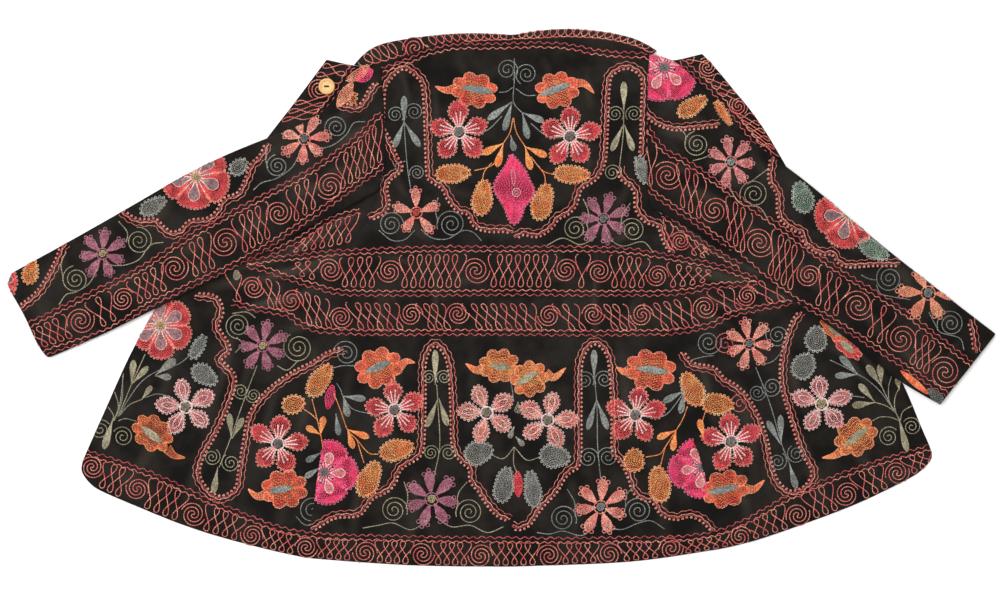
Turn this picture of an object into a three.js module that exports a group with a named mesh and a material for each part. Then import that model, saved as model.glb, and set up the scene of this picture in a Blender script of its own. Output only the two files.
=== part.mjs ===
// A short coat of embroidered velvet, fitted at the waist and flared below it, laid flat on its
// face: the back is up, both fronts are opened outwards, and the sleeves lie on the fronts.
// Millimetres, +Z up. The table is z = 0, +X runs to the right, +Y towards the collar, and the
// origin is the middle of the coat's box on the table. Every piece of cloth is a wall of its
// own, with its seams a hair apart from its neighbours.

import * as THREE from 'three';

// ---------------------------------------------------------------- driving dimensions

const CLOTH = 2.2; // thickness of velvet, wadding and lining together
const SEAM_GAP = 0.3; // clear space between two pieces that are sewn together
const LAYER_GAP = 0.3; // clear space between two layers that lie on each other

const ARMHOLE_RISE = 5.0; // the back's armhole edge lies on the sleeve's turned seam
const ARMHOLE_REACH = 38; // and comes down to the table over this distance
const NECK_RISE = 5.0; // the back's neck edge lies on the rolled collar
const NECK_REACH = 42;
const UNDERARM_LOW = 150; // the armhole edge comes down between these two heights in Y
const UNDERARM_HIGH = 200;

const SLEEVE_THICK = 7.4; // both layers of a sleeve and the air between them
const SLEEVE_FOLD_THICK = 6.6; // the same at its two folded edges
const SLEEVE_SWELL = 0.25; // share of its length over which it fills out from the armhole
const SLEEVE_STEP = 30; // past the front's edge a sleeve runs level for this, then drops
const SLEEVE_DROP = 35; // to the table over this distance

const COLLAR_TUCK = 12; // the part of the collar that is turned under the neck
const COLLAR_ROLL = 3.6; // radius of the turn, at the middle of the cloth
const COLLAR_TURN_STEPS = 6;

const BUTTON_AT = { x: -241.5, y: 293 };
const BUTTON_RADIUS = 11.25;
const BUTTON_HEIGHT = 4.2;
const BUTTON_DISH = 1.2; // depth of its hollowed face
const BUTTON_RIM = 2.4; // width of the raised rim
const BUTTON_ROUNDING = 1.1; // of its edges
const BUTTON_SIDES = 28;

// ---------------------------------------------------------------- seams and edges
// Each row is one point of the seam, from the collar towards the hem or from left to right.
// cells is how many steps the seam is cut into, and two pieces that share it share its steps.

const seam = (cells, ...points) => ({ cells, points });

const FRONT_EDGE = {
  left: {
    bodice: seam(11, { x: -242, y: 330 }, { x: -289, y: 267 }, { x: -331, y: 213 },
      { x: -381, y: 138 }, { x: -429, y: 62 }),
    skirt: seam(12, { x: -429, y: 62 }, { x: -480, y: -17 }, { x: -513, y: -77 },
      { x: -549, y: -157 }, { x: -584, y: -236 }),
  },
  right: {
    bodice: seam(11, { x: 276, y: 338 }, { x: 288, y: 327 }, { x: 317, y: 291 },
      { x: 349, y: 253 }, { x: 393, y: 181 }, { x: 458, y: 60 }),
    skirt: seam(12, { x: 458, y: 60 }, { x: 514, y: -46 }, { x: 556, y: -123 },
      { x: 580, y: -181 }, { x: 597, y: -219 }),
  },
};

const FRONT_TOP = {
  left: seam(7, { x: -242, y: 330 }, { x: -204, y: 322 }, { x: -175, y: 319 }),
  right: seam(7, { x: 209, y: 330 }, { x: 236, y: 329 }, { x: 276, y: 338 }),
};

const FRONT_ARMHOLE = {
  left: seam(6, { x: -175, y: 319 }, { x: -169, y: 260 }, { x: -168, y: 199 },
    { x: -174, y: 168 }, { x: -188, y: 143 }),
  right: seam(6, { x: 209, y: 330 }, { x: 207, y: 260 }, { x: 207, y: 190 },
    { x: 210, y: 150 }, { x: 219, y: 118 }),
};

const BACK_ARMHOLE = {
  left: seam(6, { x: -168, y: 323 }, { x: -163, y: 260 }, { x: -162, y: 199 },
    { x: -165, y: 170 }, { x: -171, y: 150 }),
  right: seam(6, { x: 204, y: 336 }, { x: 201, y: 260 }, { x: 201, y: 190 },
    { x: 202, y: 150 }, { x: 205, y: 126 }),
};

const UNDERARM = {
  left: seam(3, { x: -188, y: 143 }, { x: -171, y: 150 }),
  right: seam(3, { x: 205, y: 126 }, { x: 219, y: 118 }),
};

const SIDE_FRONT = {
  left: {
    bodice: seam(5, { x: -188, y: 143 }, { x: -238, y: 84 }, { x: -285, y: 20 }),
    skirt: seam(12, { x: -285, y: 20 }, { x: -294, y: -43 }, { x: -331, y: -181 },
      { x: -382, y: -330 }),
  },
  right: {
    bodice: seam(5, { x: 219, y: 118 }, { x: 262, y: 70 }, { x: 302, y: 18 }),
    skirt: seam(12, { x: 302, y: 18 }, { x: 308, y: -43 }, { x: 339, y: -174 },
      { x: 380, y: -323 }),
  },
};

const SIDE_BACK = {
  left: {
    bodice: seam(5, { x: -171, y: 150 }, { x: -182, y: 112 }, { x: -210, y: 72 },
      { x: -219, y: 4 }),
    skirt: seam(12, { x: -219, y: 4 }, { x: -217, y: -57 }, { x: -232, y: -120 },
      { x: -248, y: -203 }, { x: -264, y: -317 }, { x: -271, y: -357 }),
  },
  right: {
    bodice: seam(5, { x: 205, y: 126 }, { x: 221, y: 92 }, { x: 240, y: 55 },
      { x: 241, y: 4 }),
    skirt: seam(12, { x: 241, y: 4 }, { x: 237, y: -48 }, { x: 243, y: -87 },
      { x: 259, y: -181 }, { x: 276, y: -228 }, { x: 294, y: -326 }, { x: 299, y: -345 }),
  },
};

const CENTRE_BACK = {
  bodice: seam(11, { x: 15, y: 356 }, { x: 15, y: 180 }, { x: 14, y: 3 }),
  skirt: seam(12, { x: 14, y: 3 }, { x: 14, y: -180 }, { x: 13, y: -369 }),
};

const NECK = {
  left: seam(7, { x: -168, y: 323 }, { x: -131, y: 335 }, { x: -100, y: 349 },
    { x: -62, y: 356 }, { x: -24, y: 355.5 }, { x: 15, y: 356 }),
  right: seam(7, { x: 15, y: 356 }, { x: 50, y: 357 }, { x: 90, y: 359 },
    { x: 142, y: 356 }, { x: 182, y: 347 }, { x: 204, y: 336 }),
};

const COLLAR_EDGE = {
  left: seam(7, { x: -203, y: 323 }, { x: -180, y: 348 }, { x: -141, y: 356 },
    { x: -92, y: 363 }, { x: -40, y: 366 }, { x: 15, y: 363 }),
  right: seam(7, { x: 15, y: 363 }, { x: 50, y: 369 }, { x: 86, y: 372 },
    { x: 142, y: 367 }, { x: 186, y: 358 }, { x: 212, y: 342 }),
};

const WAIST = {
  frontLeft: seam(7, { x: -429, y: 62 }, { x: -352, y: 36 }, { x: -285, y: 20 }),
  sideLeft: seam(3, { x: -285, y: 20 }, { x: -250, y: 9 }, { x: -219, y: 4 }),
  backLeft: seam(7, { x: -219, y: 4 }, { x: -100, y: 2 }, { x: 14, y: 3 }),
  backRight: seam(7, { x: 14, y: 3 }, { x: 130, y: 0 }, { x: 241, y: 4 }),
  sideRight: seam(3, { x: 241, y: 4 }, { x: 272, y: 12 }, { x: 302, y: 18 }),
  frontRight: seam(7, { x: 302, y: 18 }, { x: 380, y: 32 }, { x: 458, y: 60 }),
};

const HEM = {
  frontLeft: seam(7, { x: -584, y: -236 }, { x: -575, y: -253 }, { x: -520, y: -279 },
    { x: -431, y: -315 }, { x: -382, y: -330 }),
  sideLeft: seam(3, { x: -382, y: -330 }, { x: -330, y: -344 }, { x: -271, y: -357 }),
  backLeft: seam(7, { x: -271, y: -357 }, { x: -196, y: -363 }, { x: -106, y: -368 },
    { x: 13, y: -369 }),
  backRight: seam(7, { x: 13, y: -369 }, { x: 132, y: -365 }, { x: 193, y: -361 },
    { x: 299, y: -345 }),
  sideRight: seam(3, { x: 299, y: -345 }, { x: 340, y: -336 }, { x: 380, y: -323 }),
  frontRight: seam(7, { x: 380, y: -323 }, { x: 420, y: -309 }, { x: 500, y: -278 },
    { x: 556, y: -250 }, { x: 587, y: -234 }, { x: 597, y: -219 }),
};

// A sleeve's outline: its upper folded edge, its lower folded edge and its cuff.
const SLEEVE = {
  left: {
    armhole: BACK_ARMHOLE.left,
    upper: [{ x: -168, y: 323 }, { x: -190, y: 325 }, { x: -206, y: 318 },
      { x: -219, y: 293 }, { x: -238, y: 264 }, { x: -266, y: 243 }, { x: -299, y: 230 },
      { x: -368, y: 203 }, { x: -431, y: 173 }, { x: -523, y: 120 }, { x: -624, y: 63 },
      { x: -672, y: 37 }],
    lower: [{ x: -171, y: 150 }, { x: -212, y: 128 }, { x: -279, y: 93 }, { x: -362, y: 47 },
      { x: -483, y: -15 }, { x: -555, y: -50 }, { x: -624, y: -80 }],
    cuff: [{ x: -672, y: 37 }, { x: -681, y: 27 }, { x: -656, y: -24 }, { x: -632, y: -74 },
      { x: -624, y: -80 }],
  },
  right: {
    armhole: BACK_ARMHOLE.right,
    upper: [{ x: 204, y: 336 }, { x: 222, y: 337 }, { x: 240, y: 327 }, { x: 259, y: 309 },
      { x: 282, y: 281 }, { x: 303, y: 240 }, { x: 342, y: 219 }, { x: 370, y: 197 },
      { x: 415, y: 164 }, { x: 510, y: 84 }, { x: 600, y: 13 }, { x: 679, y: -48 }],
    lower: [{ x: 205, y: 126 }, { x: 250, y: 104 }, { x: 300, y: 78 }, { x: 340, y: 50 },
      { x: 380, y: 16 }, { x: 470, y: -50 }, { x: 555, y: -117 }, { x: 603, y: -144 }],
    cuff: [{ x: 679, y: -48 }, { x: 642, y: -95 }, { x: 603, y: -144 }],
  },
};

// Soft folds of the cloth that lies on the table: each runs from one end to the other and
// stands up by height at its middle.
const FOLDS = [
  { x1: -92, y1: 70, x2: -98, y2: -60, width: 13, height: 2.4 }, // left back dart
  { x1: 130, y1: 70, x2: 128, y2: -60, width: 13, height: 2.6 }, // right back dart
  { x1: -196, y1: 62, x2: -296, y2: 48, width: 9, height: 4.6 }, // under the left sleeve
  { x1: -226, y1: 26, x2: -322, y2: 2, width: 10, height: 5.2 }, // over the left waist
  { x1: -205, y1: 34, x2: -150, y2: 10, width: 12, height: 2.4 },
  { x1: 232, y1: 48, x2: 300, y2: 36, width: 9, height: 4.4 }, // under the right sleeve
  { x1: 246, y1: 20, x2: 330, y2: 2, width: 10, height: 4.8 },
  { x1: 232, y1: 34, x2: 180, y2: 12, width: 12, height: 2.2 },
  { x1: 390, y1: -38, x2: 505, y2: -122, width: 13, height: 4.0 }, // right front skirt
  { x1: -402, y1: -18, x2: -455, y2: -120, width: 15, height: 2.2 }, // left front skirt
  { x1: -150, y1: -70, x2: -172, y2: -300, width: 22, height: 2.0 }, // flare of the skirt
  { x1: -40, y1: -110, x2: -52, y2: -330, width: 20, height: 1.7 },
  { x1: 92, y1: -90, x2: 108, y2: -325, width: 21, height: 1.9 },
  { x1: 188, y1: -80, x2: 214, y2: -300, width: 20, height: 1.8 },
  { x1: -262, y1: -70, x2: -318, y2: -290, width: 18, height: 2.4 },
  { x1: 276, y1: -80, x2: 330, y2: -280, width: 18, height: 2.2 },
];

// ---------------------------------------------------------------- finishes

const finish = (color, roughness) =>
  new THREE.MeshStandardMaterial({ color, roughness, metalness: 0 });
const VELVET = { color: 0x1d1917, roughness: 0.92 };
const WOOD = { color: 0xd9b36a, roughness: 0.45 };

// ---------------------------------------------------------------- small tools

const smooth = (t) => {
  const u = Math.min(Math.max(t, 0), 1);
  return u * u * (3 - 2 * u);
};

// Points of a soft curve through a table's rows, evenly spaced along it.
const curveThrough = (points) =>
  new THREE.CatmullRomCurve3(points.map(({ x, y }) => new THREE.Vector3(x, y, 0)),
    false, 'centripetal');

const sample = ({ cells, points }) => curveThrough(points).getSpacedPoints(cells);

const join = (...runs) =>
  runs.map(sample).reduce((all, next) => [...all, ...next.slice(1)]);

function distanceToSegment(x, y, { x1, y1, x2, y2 }) {
  const dx = x2 - x1;
  const dy = y2 - y1;
  const along = Math.min(Math.max(((x - x1) * dx + (y - y1) * dy) / (dx * dx + dy * dy), 0), 1);
  return { along, away: Math.hypot(x - x1 - along * dx, y - y1 - along * dy) };
}

function distanceToLine(x, y, points) {
  let nearest = Infinity;
  for (let i = 1; i < points.length; i += 1) {
    const piece = {
      x1: points[i - 1].x, y1: points[i - 1].y, x2: points[i].x, y2: points[i].y,
    };
    nearest = Math.min(nearest, distanceToSegment(x, y, piece).away);
  }
  return nearest;
}

// Height of the folds at a place: full at the middle of each, and nothing at its ends.
const FOLD_BLUNTNESS = 0.7; // under 1, a fold keeps its height for most of its length
const FOLD_LEAST = 0.05; // a lower rise than this lies flat
function foldHeight(x, y) {
  let height = 0;
  for (const fold of FOLDS) {
    const { along, away } = distanceToSegment(x, y, fold);
    const body = Math.sin(Math.PI * along) ** FOLD_BLUNTNESS;
    height += fold.height * body * Math.exp(-((away / fold.width) ** 2));
  }
  return height < FOLD_LEAST ? 0 : height;
}

// The cloth of the back also climbs to the armholes and to the neck.
const armholes = [BACK_ARMHOLE.left, BACK_ARMHOLE.right].map(sample);
const necks = [NECK.left, NECK.right].map(sample);

function edgeHeight(x, y) {
  const ramp = smooth((y - UNDERARM_LOW) / (UNDERARM_HIGH - UNDERARM_LOW));
  const climbs = [
    ...armholes.map((line) =>
      ARMHOLE_RISE * ramp * (1 - smooth(distanceToLine(x, y, line) / ARMHOLE_REACH))),
    ...necks.map((line) =>
      NECK_RISE * (1 - smooth(distanceToLine(x, y, line) / NECK_REACH))),
  ];
  return Math.max(...climbs);
}

const backHeight = (x, y) => Math.max(foldHeight(x, y), edgeHeight(x, y));

// ---------------------------------------------------------------- cloth walls

// A grid of points filled in between four edges. left and right run down, top and bottom
// run from left to right.
function fillBetween({ top, bottom, left, right }) {
  const columns = top.length - 1;
  const rows = left.length - 1;
  const grid = [];
  for (let j = 0; j <= rows; j += 1) {
    const v = j / rows;
    const row = [];
    for (let i = 0; i <= columns; i += 1) {
      const u = i / columns;
      const across = left[j].clone().multiplyScalar(1 - u).addScaledVector(right[j], u);
      const down = top[i].clone().multiplyScalar(1 - v).addScaledVector(bottom[i], v);
      const corners = left[0].clone().multiplyScalar((1 - u) * (1 - v))
        .addScaledVector(right[0], u * (1 - v))
        .addScaledVector(left[rows], (1 - u) * v)
        .addScaledVector(right[rows], u * v);
      row.push(across.add(down).sub(corners));
    }
    grid.push(row);
  }
  return grid;
}

// Moves the rim of a grid inwards, so that a seam keeps its gap.
function insetRim(grid, inset) {
  const rows = grid.length - 1;
  const columns = grid[0].length - 1;
  const pull = (j, i, before, after, side) => {
    const tangent = after.clone().sub(before).normalize();
    const inwards = new THREE.Vector3(-tangent.y, tangent.x, 0).multiplyScalar(side * inset);
    return { j, i, inwards };
  };
  const pulls = [];
  for (let i = 0; i <= columns; i += 1) {
    const before = Math.max(i - 1, 0);
    const after = Math.min(i + 1, columns);
    pulls.push(pull(0, i, grid[0][before], grid[0][after], -1));
    pulls.push(pull(rows, i, grid[rows][before], grid[rows][after], 1));
  }
  for (let j = 0; j <= rows; j += 1) {
    const before = Math.max(j - 1, 0);
    const after = Math.min(j + 1, rows);
    pulls.push(pull(j, 0, grid[before][0], grid[after][0], 1));
    pulls.push(pull(j, columns, grid[before][columns], grid[after][columns], -1));
  }
  for (const { j, i, inwards } of pulls) grid[j][i].add(inwards);
  return grid;
}

// One closed body from two grids of the same size: the face that is seen and the face below.
function wallBetween(upper, lower) {
  const rows = upper.length - 1;
  const columns = upper[0].length - 1;
  const place = (layer, j, i) => (layer * (rows + 1) + j) * (columns + 1) + i;
  const position = [upper, lower].flat(2).flatMap(({ x, y, z }) => [x, y, z]);
  const index = [];
  const quad = (a, b, c, d) => index.push(a, b, c, a, c, d);
  for (let j = 0; j < rows; j += 1) {
    for (let i = 0; i < columns; i += 1) {
      quad(place(0, j, i), place(0, j + 1, i), place(0, j + 1, i + 1), place(0, j, i + 1));
      quad(place(1, j, i), place(1, j, i + 1), place(1, j + 1, i + 1), place(1, j + 1, i));
    }
  }
  for (let i = 0; i < columns; i += 1) {
    quad(place(0, 0, i), place(0, 0, i + 1), place(1, 0, i + 1), place(1, 0, i));
    quad(place(0, rows, i + 1), place(0, rows, i), place(1, rows, i), place(1, rows, i + 1));
  }
  for (let j = 0; j < rows; j += 1) {
    quad(place(0, j + 1, 0), place(0, j, 0), place(1, j, 0), place(1, j + 1, 0));
    quad(place(0, j, columns), place(0, j + 1, columns),
      place(1, j + 1, columns), place(1, j, columns));
  }
  return solid(position, index);
}

function solid(position, index) {
  const geometry = new THREE.BufferGeometry();
  geometry.setAttribute('position', new THREE.Float32BufferAttribute(position, 3));
  geometry.setIndex(index);
  geometry.computeVertexNormals();
  return geometry;
}

function panel(edges, height) {
  const grid = insetRim(fillBetween(edges), SEAM_GAP / 2);
  const lower = grid.map((row) => row.map(({ x, y }) =>
    new THREE.Vector3(x, y, height(x, y))));
  const upper = lower.map((row) => row.map(({ x, y, z }) =>
    new THREE.Vector3(x, y, z + CLOTH)));
  return wallBetween(upper, lower);
}

// ---------------------------------------------------------------- collar

// The collar leaves the neck seam level, turns over at its outer edge and comes back under
// the neck. Its section is the middle line of the cloth: how far out from the seam towards the
// outer edge, and how high.
function collar(side) {
  const seamLine = sample(NECK[side]);
  const edgeLine = sample(COLLAR_EDGE[side]);
  const low = CLOTH / 2;
  const high = NECK_RISE + CLOTH / 2;
  const stations = seamLine.map((at, i) => {
    const out = edgeLine[i].clone().sub(at);
    const reach = out.length();
    return { at, out: out.normalize(), reach };
  });
  const roll = (high - low) / 2;
  const sectionAt = (reach) => {
    const bend = Math.min(COLLAR_ROLL, reach - CLOTH / 2 - 1);
    const turnAt = reach - CLOTH / 2 - bend;
    const middle = [{ out: SEAM_GAP / 2, up: high, nx: 0, nz: 1 }];
    for (let k = 0; k <= COLLAR_TURN_STEPS; k += 1) {
      const angle = Math.PI / 2 - (Math.PI * k) / COLLAR_TURN_STEPS;
      middle.push({
        out: turnAt + bend * Math.cos(angle), up: low + roll + roll * Math.sin(angle),
        nx: Math.cos(angle), nz: Math.sin(angle),
      });
    }
    middle.push({ out: -COLLAR_TUCK, up: low, nx: 0, nz: -1 });
    return middle;
  };
  const face = (offset) => stations.map(({ at, out, reach }) =>
    sectionAt(reach).map(({ out: away, up, nx, nz }) => {
      const far = away + nx * offset;
      return new THREE.Vector3(at.x + out.x * far, at.y + out.y * far, up + nz * offset);
    }));
  const trim = (rows) => {
    // the two ends stop short of the centre back seam and of the sleeve
    const first = rows[0];
    const second = rows[1];
    const last = rows[rows.length - 1];
    const previous = rows[rows.length - 2];
    const shorten = (end, next) => end.forEach((point, k) => {
      const towards = next[k].clone().sub(point).setZ(0).normalize();
      point.addScaledVector(towards, SEAM_GAP / 2);
    });
    shorten(first, second);
    shorten(last, previous);
    return rows;
  };
  return wallBetween(trim(face(CLOTH / 2)), trim(face(-CLOTH / 2)));
}

// ---------------------------------------------------------------- sleeves

// Height of a sleeve's underside: it lies on the front, and past the front's edge it comes
// down to the table.
function sleeveBase(side) {
  const edge = join(FRONT_EDGE[side].bodice, FRONT_EDGE[side].skirt);
  const sign = side === 'left' ? -1 : 1;
  return (x, y) => {
    const outside = edge.every((point, i) => {
      const next = edge[Math.min(i + 1, edge.length - 1)];
      const within = y <= point.y && y >= next.y;
      if (!within) return true;
      const share = (point.y - y) / Math.max(point.y - next.y, 1e-6);
      return sign * (x - (point.x + share * (next.x - point.x))) > 0;
    });
    const past = outside ? distanceToLine(x, y, edge) : 0;
    return (CLOTH + LAYER_GAP) * (1 - smooth((past - SLEEVE_STEP) / SLEEVE_DROP));
  };
}

// Stations across a sleeve, in millimetres from a folded edge, with the share of the half
// thickness that the outer face has there.
const FOLD_STATIONS = [
  { outer: 0, inner: CLOTH, share: 0 },
  { outer: 0.9, inner: CLOTH + 0.35, share: 0.72 },
  { outer: 3.2, inner: CLOTH + 1.6, share: 1 },
];
const SLEEVE_UPPER_STEPS = 8;
const SLEEVE_LOWER_STEPS = 4;
const SLEEVE_ROWS = 18;

function sleeve(side) {
  const { armhole, upper, lower, cuff } = SLEEVE[side];
  const curves = {
    armhole: curveThrough(armhole.points),
    upper: curveThrough(upper),
    lower: curveThrough(lower),
    cuff: curveThrough(cuff),
  };
  const base = sleeveBase(side);
  // A place on the sleeve: across from its upper to its lower fold, along from arm to cuff.
  const place = (across, along) => {
    const a = curves.upper.getPointAt(along).multiplyScalar(1 - across)
      .addScaledVector(curves.lower.getPointAt(along), across);
    const b = curves.armhole.getPointAt(across).multiplyScalar(1 - along)
      .addScaledVector(curves.cuff.getPointAt(across), along);
    const c = curves.upper.getPointAt(0).multiplyScalar((1 - across) * (1 - along))
      .addScaledVector(curves.lower.getPointAt(0), across * (1 - along))
      .addScaledVector(curves.upper.getPointAt(1), (1 - across) * along)
      .addScaledVector(curves.lower.getPointAt(1), across * along);
    return a.add(b).sub(c);
  };
  const insetAlong = SEAM_GAP / curves.upper.getLength();
  const ring = (along, isInner) => {
    const width = curves.upper.getPointAt(along).distanceTo(curves.lower.getPointAt(along));
    const cloth = isInner ? CLOTH : 0;
    const point = (distance, share, top) => {
      const across = Math.min(Math.max(distance / width, 0), 1);
      const at = place(across, along);
      const puff = Math.sin(Math.PI * across);
      const thick = SLEEVE_FOLD_THICK + (SLEEVE_THICK - SLEEVE_FOLD_THICK) * puff
        * smooth(along / SLEEVE_SWELL);
      const half = thick / 2 - cloth;
      const middle = base(at.x, at.y) + thick / 2;
      return new THREE.Vector3(at.x, at.y, middle + (top ? 1 : -1) * half * share);
    };
    const key = isInner ? 'inner' : 'outer';
    const flat = FOLD_STATIONS[FOLD_STATIONS.length - 1][key];
    const steps = (count) => Array.from({ length: count - 1 }, (_, k) =>
      flat + ((width - 2 * flat) * (k + 1)) / count);
    const points = [];
    FOLD_STATIONS.forEach((at) => points.push(point(at[key], at.share, true)));
    steps(SLEEVE_UPPER_STEPS).forEach((at) => points.push(point(at, 1, true)));
    [...FOLD_STATIONS].reverse().forEach((at) =>
      points.push(point(width - at[key], at.share, true)));
    [...FOLD_STATIONS].slice(1).forEach((at) =>
      points.push(point(width - at[key], at.share, false)));
    steps(SLEEVE_LOWER_STEPS).reverse().forEach((at) => points.push(point(at, 1, false)));
    [...FOLD_STATIONS].slice(1).reverse().forEach((at) =>
      points.push(point(at[key], at.share, false)));
    return points;
  };
  const rows = Array.from({ length: SLEEVE_ROWS + 1 }, (_, k) =>
    Math.min(insetAlong + ((1 - insetAlong) * k) / SLEEVE_ROWS, 1));
  const outer = rows.map((along) => ring(along, false));
  const inner = rows.map((along) => ring(along, true));
  return openTube(outer, inner, side === 'left');
}

// A tube with a wall, open at both ends, from rings of the same number of points.
function openTube(outer, inner, turned) {
  const around = outer[0].length;
  const last = outer.length - 1;
  const position = [outer, inner].flat(2).flatMap(({ x, y, z }) => [x, y, z]);
  const place = (layer, row, k) => (layer * (last + 1) + row) * around + (k % around);
  const index = [];
  const quad = (a, b, c, d) => (turned
    ? index.push(a, b, c, a, c, d)
    : index.push(a, c, b, a, d, c));
  for (let k = 0; k < around; k += 1) {
    for (let row = 0; row < last; row += 1) {
      quad(place(0, row, k), place(0, row + 1, k), place(0, row + 1, k + 1),
        place(0, row, k + 1));
      quad(place(1, row, k), place(1, row, k + 1), place(1, row + 1, k + 1),
        place(1, row + 1, k));
    }
    quad(place(0, 0, k), place(0, 0, k + 1), place(1, 0, k + 1), place(1, 0, k));
    quad(place(0, last, k + 1), place(0, last, k), place(1, last, k),
      place(1, last, k + 1));
  }
  return solid(position, index);
}

// ---------------------------------------------------------------- button

function button() {
  const edge = BUTTON_ROUNDING;
  const profile = [
    { r: 0, z: 0 },
    { r: BUTTON_RADIUS - edge, z: 0 },
    { r: BUTTON_RADIUS, z: edge },
    { r: BUTTON_RADIUS, z: BUTTON_HEIGHT - edge },
    { r: BUTTON_RADIUS - edge, z: BUTTON_HEIGHT },
    { r: BUTTON_RADIUS - BUTTON_RIM, z: BUTTON_HEIGHT },
    { r: BUTTON_RADIUS - BUTTON_RIM - edge, z: BUTTON_HEIGHT - BUTTON_DISH },
    { r: 0, z: BUTTON_HEIGHT - BUTTON_DISH },
  ];
  const turned = new THREE.LatheGeometry(
    profile.map(({ r, z }) => new THREE.Vector2(r, z)), BUTTON_SIDES);
  turned.rotateX(Math.PI / 2);
  return turned;
}

// ---------------------------------------------------------------- the coat

const coat = new THREE.Group();

function addPiece(name, geometry, { color, roughness } = VELVET) {
  const mesh = new THREE.Mesh(geometry, finish(color, roughness));
  mesh.name = name;
  coat.add(mesh);
  return mesh;
}

addPiece('back_left', panel({
  top: sample(NECK.left),
  bottom: sample(WAIST.backLeft),
  left: join(BACK_ARMHOLE.left, SIDE_BACK.left.bodice),
  right: sample(CENTRE_BACK.bodice),
}, backHeight));

addPiece('back_right', panel({
  top: sample(NECK.right),
  bottom: sample(WAIST.backRight),
  left: sample(CENTRE_BACK.bodice),
  right: join(BACK_ARMHOLE.right, SIDE_BACK.right.bodice),
}, backHeight));

addPiece('side_left', panel({
  top: sample(UNDERARM.left),
  bottom: sample(WAIST.sideLeft),
  left: sample(SIDE_FRONT.left.bodice),
  right: sample(SIDE_BACK.left.bodice),
}, foldHeight));

addPiece('side_right', panel({
  top: sample(UNDERARM.right),
  bottom: sample(WAIST.sideRight),
  left: sample(SIDE_BACK.right.bodice),
  right: sample(SIDE_FRONT.right.bodice),
}, foldHeight));

addPiece('front_left', panel({
  top: sample(FRONT_TOP.left),
  bottom: sample(WAIST.frontLeft),
  left: sample(FRONT_EDGE.left.bodice),
  right: join(FRONT_ARMHOLE.left, SIDE_FRONT.left.bodice),
}, foldHeight));

addPiece('front_right', panel({
  top: sample(FRONT_TOP.right),
  bottom: sample(WAIST.frontRight),
  left: join(FRONT_ARMHOLE.right, SIDE_FRONT.right.bodice),
  right: sample(FRONT_EDGE.right.bodice),
}, foldHeight));

const skirtPanels = [
  { name: 'skirt_front_left', run: 'frontLeft', left: FRONT_EDGE.left, right: SIDE_FRONT.left },
  { name: 'skirt_side_left', run: 'sideLeft', left: SIDE_FRONT.left, right: SIDE_BACK.left },
  { name: 'skirt_back_left', run: 'backLeft', left: SIDE_BACK.left, right: CENTRE_BACK },
  { name: 'skirt_back_right', run: 'backRight', left: CENTRE_BACK, right: SIDE_BACK.right },
  { name: 'skirt_side_right', run: 'sideRight', left: SIDE_BACK.right, right: SIDE_FRONT.right },
  { name: 'skirt_front_right', run: 'frontRight', left: SIDE_FRONT.right,
    right: FRONT_EDGE.right },
];
for (const { name, run, left, right } of skirtPanels) {
  addPiece(name, panel({
    top: sample(WAIST[run]),
    bottom: sample(HEM[run]),
    left: sample(left.skirt),
    right: sample(right.skirt),
  }, foldHeight));
}

for (const side of ['left', 'right']) {
  addPiece(`collar_${side}`, collar(side));
  addPiece(`sleeve_${side}`, sleeve(side));
}

addPiece('button', button(), WOOD)
  .position.set(BUTTON_AT.x, BUTTON_AT.y, CLOTH + LAYER_GAP);

// The origin is the middle of the coat's box, so the whole coat is moved there.
const middle = new THREE.Box3().setFromObject(coat, true).getCenter(new THREE.Vector3());
coat.position.set(-middle.x, -middle.y, 0);

export default coat;
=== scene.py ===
"""A short embroidered velvet coat, laid flat on its face with its fronts opened outwards.

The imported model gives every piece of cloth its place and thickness. This script dresses it:
soft velvet shells with creases, a turned wooden button, and chain-stitch embroidery whose
threads are laid on the cloth. Places on the coat are written in millimetres on the coat's own
chart: X to the right, Y towards the collar, as the coat lies.
"""

import cmath
import math

import bmesh
import bpy
import numpy as np
from bpy.props import FloatProperty, FloatVectorProperty, PointerProperty
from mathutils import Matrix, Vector, noise
from mathutils.bvhtree import BVHTree


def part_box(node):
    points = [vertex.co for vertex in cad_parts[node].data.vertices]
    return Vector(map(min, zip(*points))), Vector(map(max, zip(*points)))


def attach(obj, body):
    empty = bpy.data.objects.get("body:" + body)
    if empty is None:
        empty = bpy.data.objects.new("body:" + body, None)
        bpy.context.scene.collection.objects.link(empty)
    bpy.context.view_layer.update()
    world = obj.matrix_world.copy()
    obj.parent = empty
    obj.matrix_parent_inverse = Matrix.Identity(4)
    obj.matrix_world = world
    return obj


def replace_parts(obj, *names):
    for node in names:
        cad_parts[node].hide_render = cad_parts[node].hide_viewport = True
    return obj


bl_info = {
    "name": "Embroidered Coat",
    "version": (1, 0, 0),
    "blender": (4, 5, 0),
    "location": "3D View > Sidebar > Coat",
    "description": "Velvet shells, chain-stitch embroidery and a wooden button for a laid-out coat",
    "category": "Object",
}

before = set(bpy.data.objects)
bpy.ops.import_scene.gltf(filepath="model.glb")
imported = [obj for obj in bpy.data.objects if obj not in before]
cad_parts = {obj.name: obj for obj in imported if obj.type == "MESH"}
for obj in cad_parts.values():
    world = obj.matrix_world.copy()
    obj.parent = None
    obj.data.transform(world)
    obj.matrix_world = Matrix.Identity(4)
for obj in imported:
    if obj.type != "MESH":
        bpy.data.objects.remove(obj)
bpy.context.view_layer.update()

MM = 0.001
CHART_SHIFT = Vector((0.66, -1.33, 0.0))  # mm from the coat's chart to the model's middle


def shade(red, green, blue):
    """A colour as it is seen on a screen, 0 to 255, made linear."""
    return tuple(((c / 255 + 0.055) / 1.055) ** 2.4 if c > 10 else c / 3294.6
                 for c in (red, green, blue))


# ---------------------------------------- sizes and colours to change

def length(name, description, default):
    return FloatProperty(name=name, description=description, default=default,
                         unit="LENGTH", subtype="DISTANCE", min=0.0)


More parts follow.
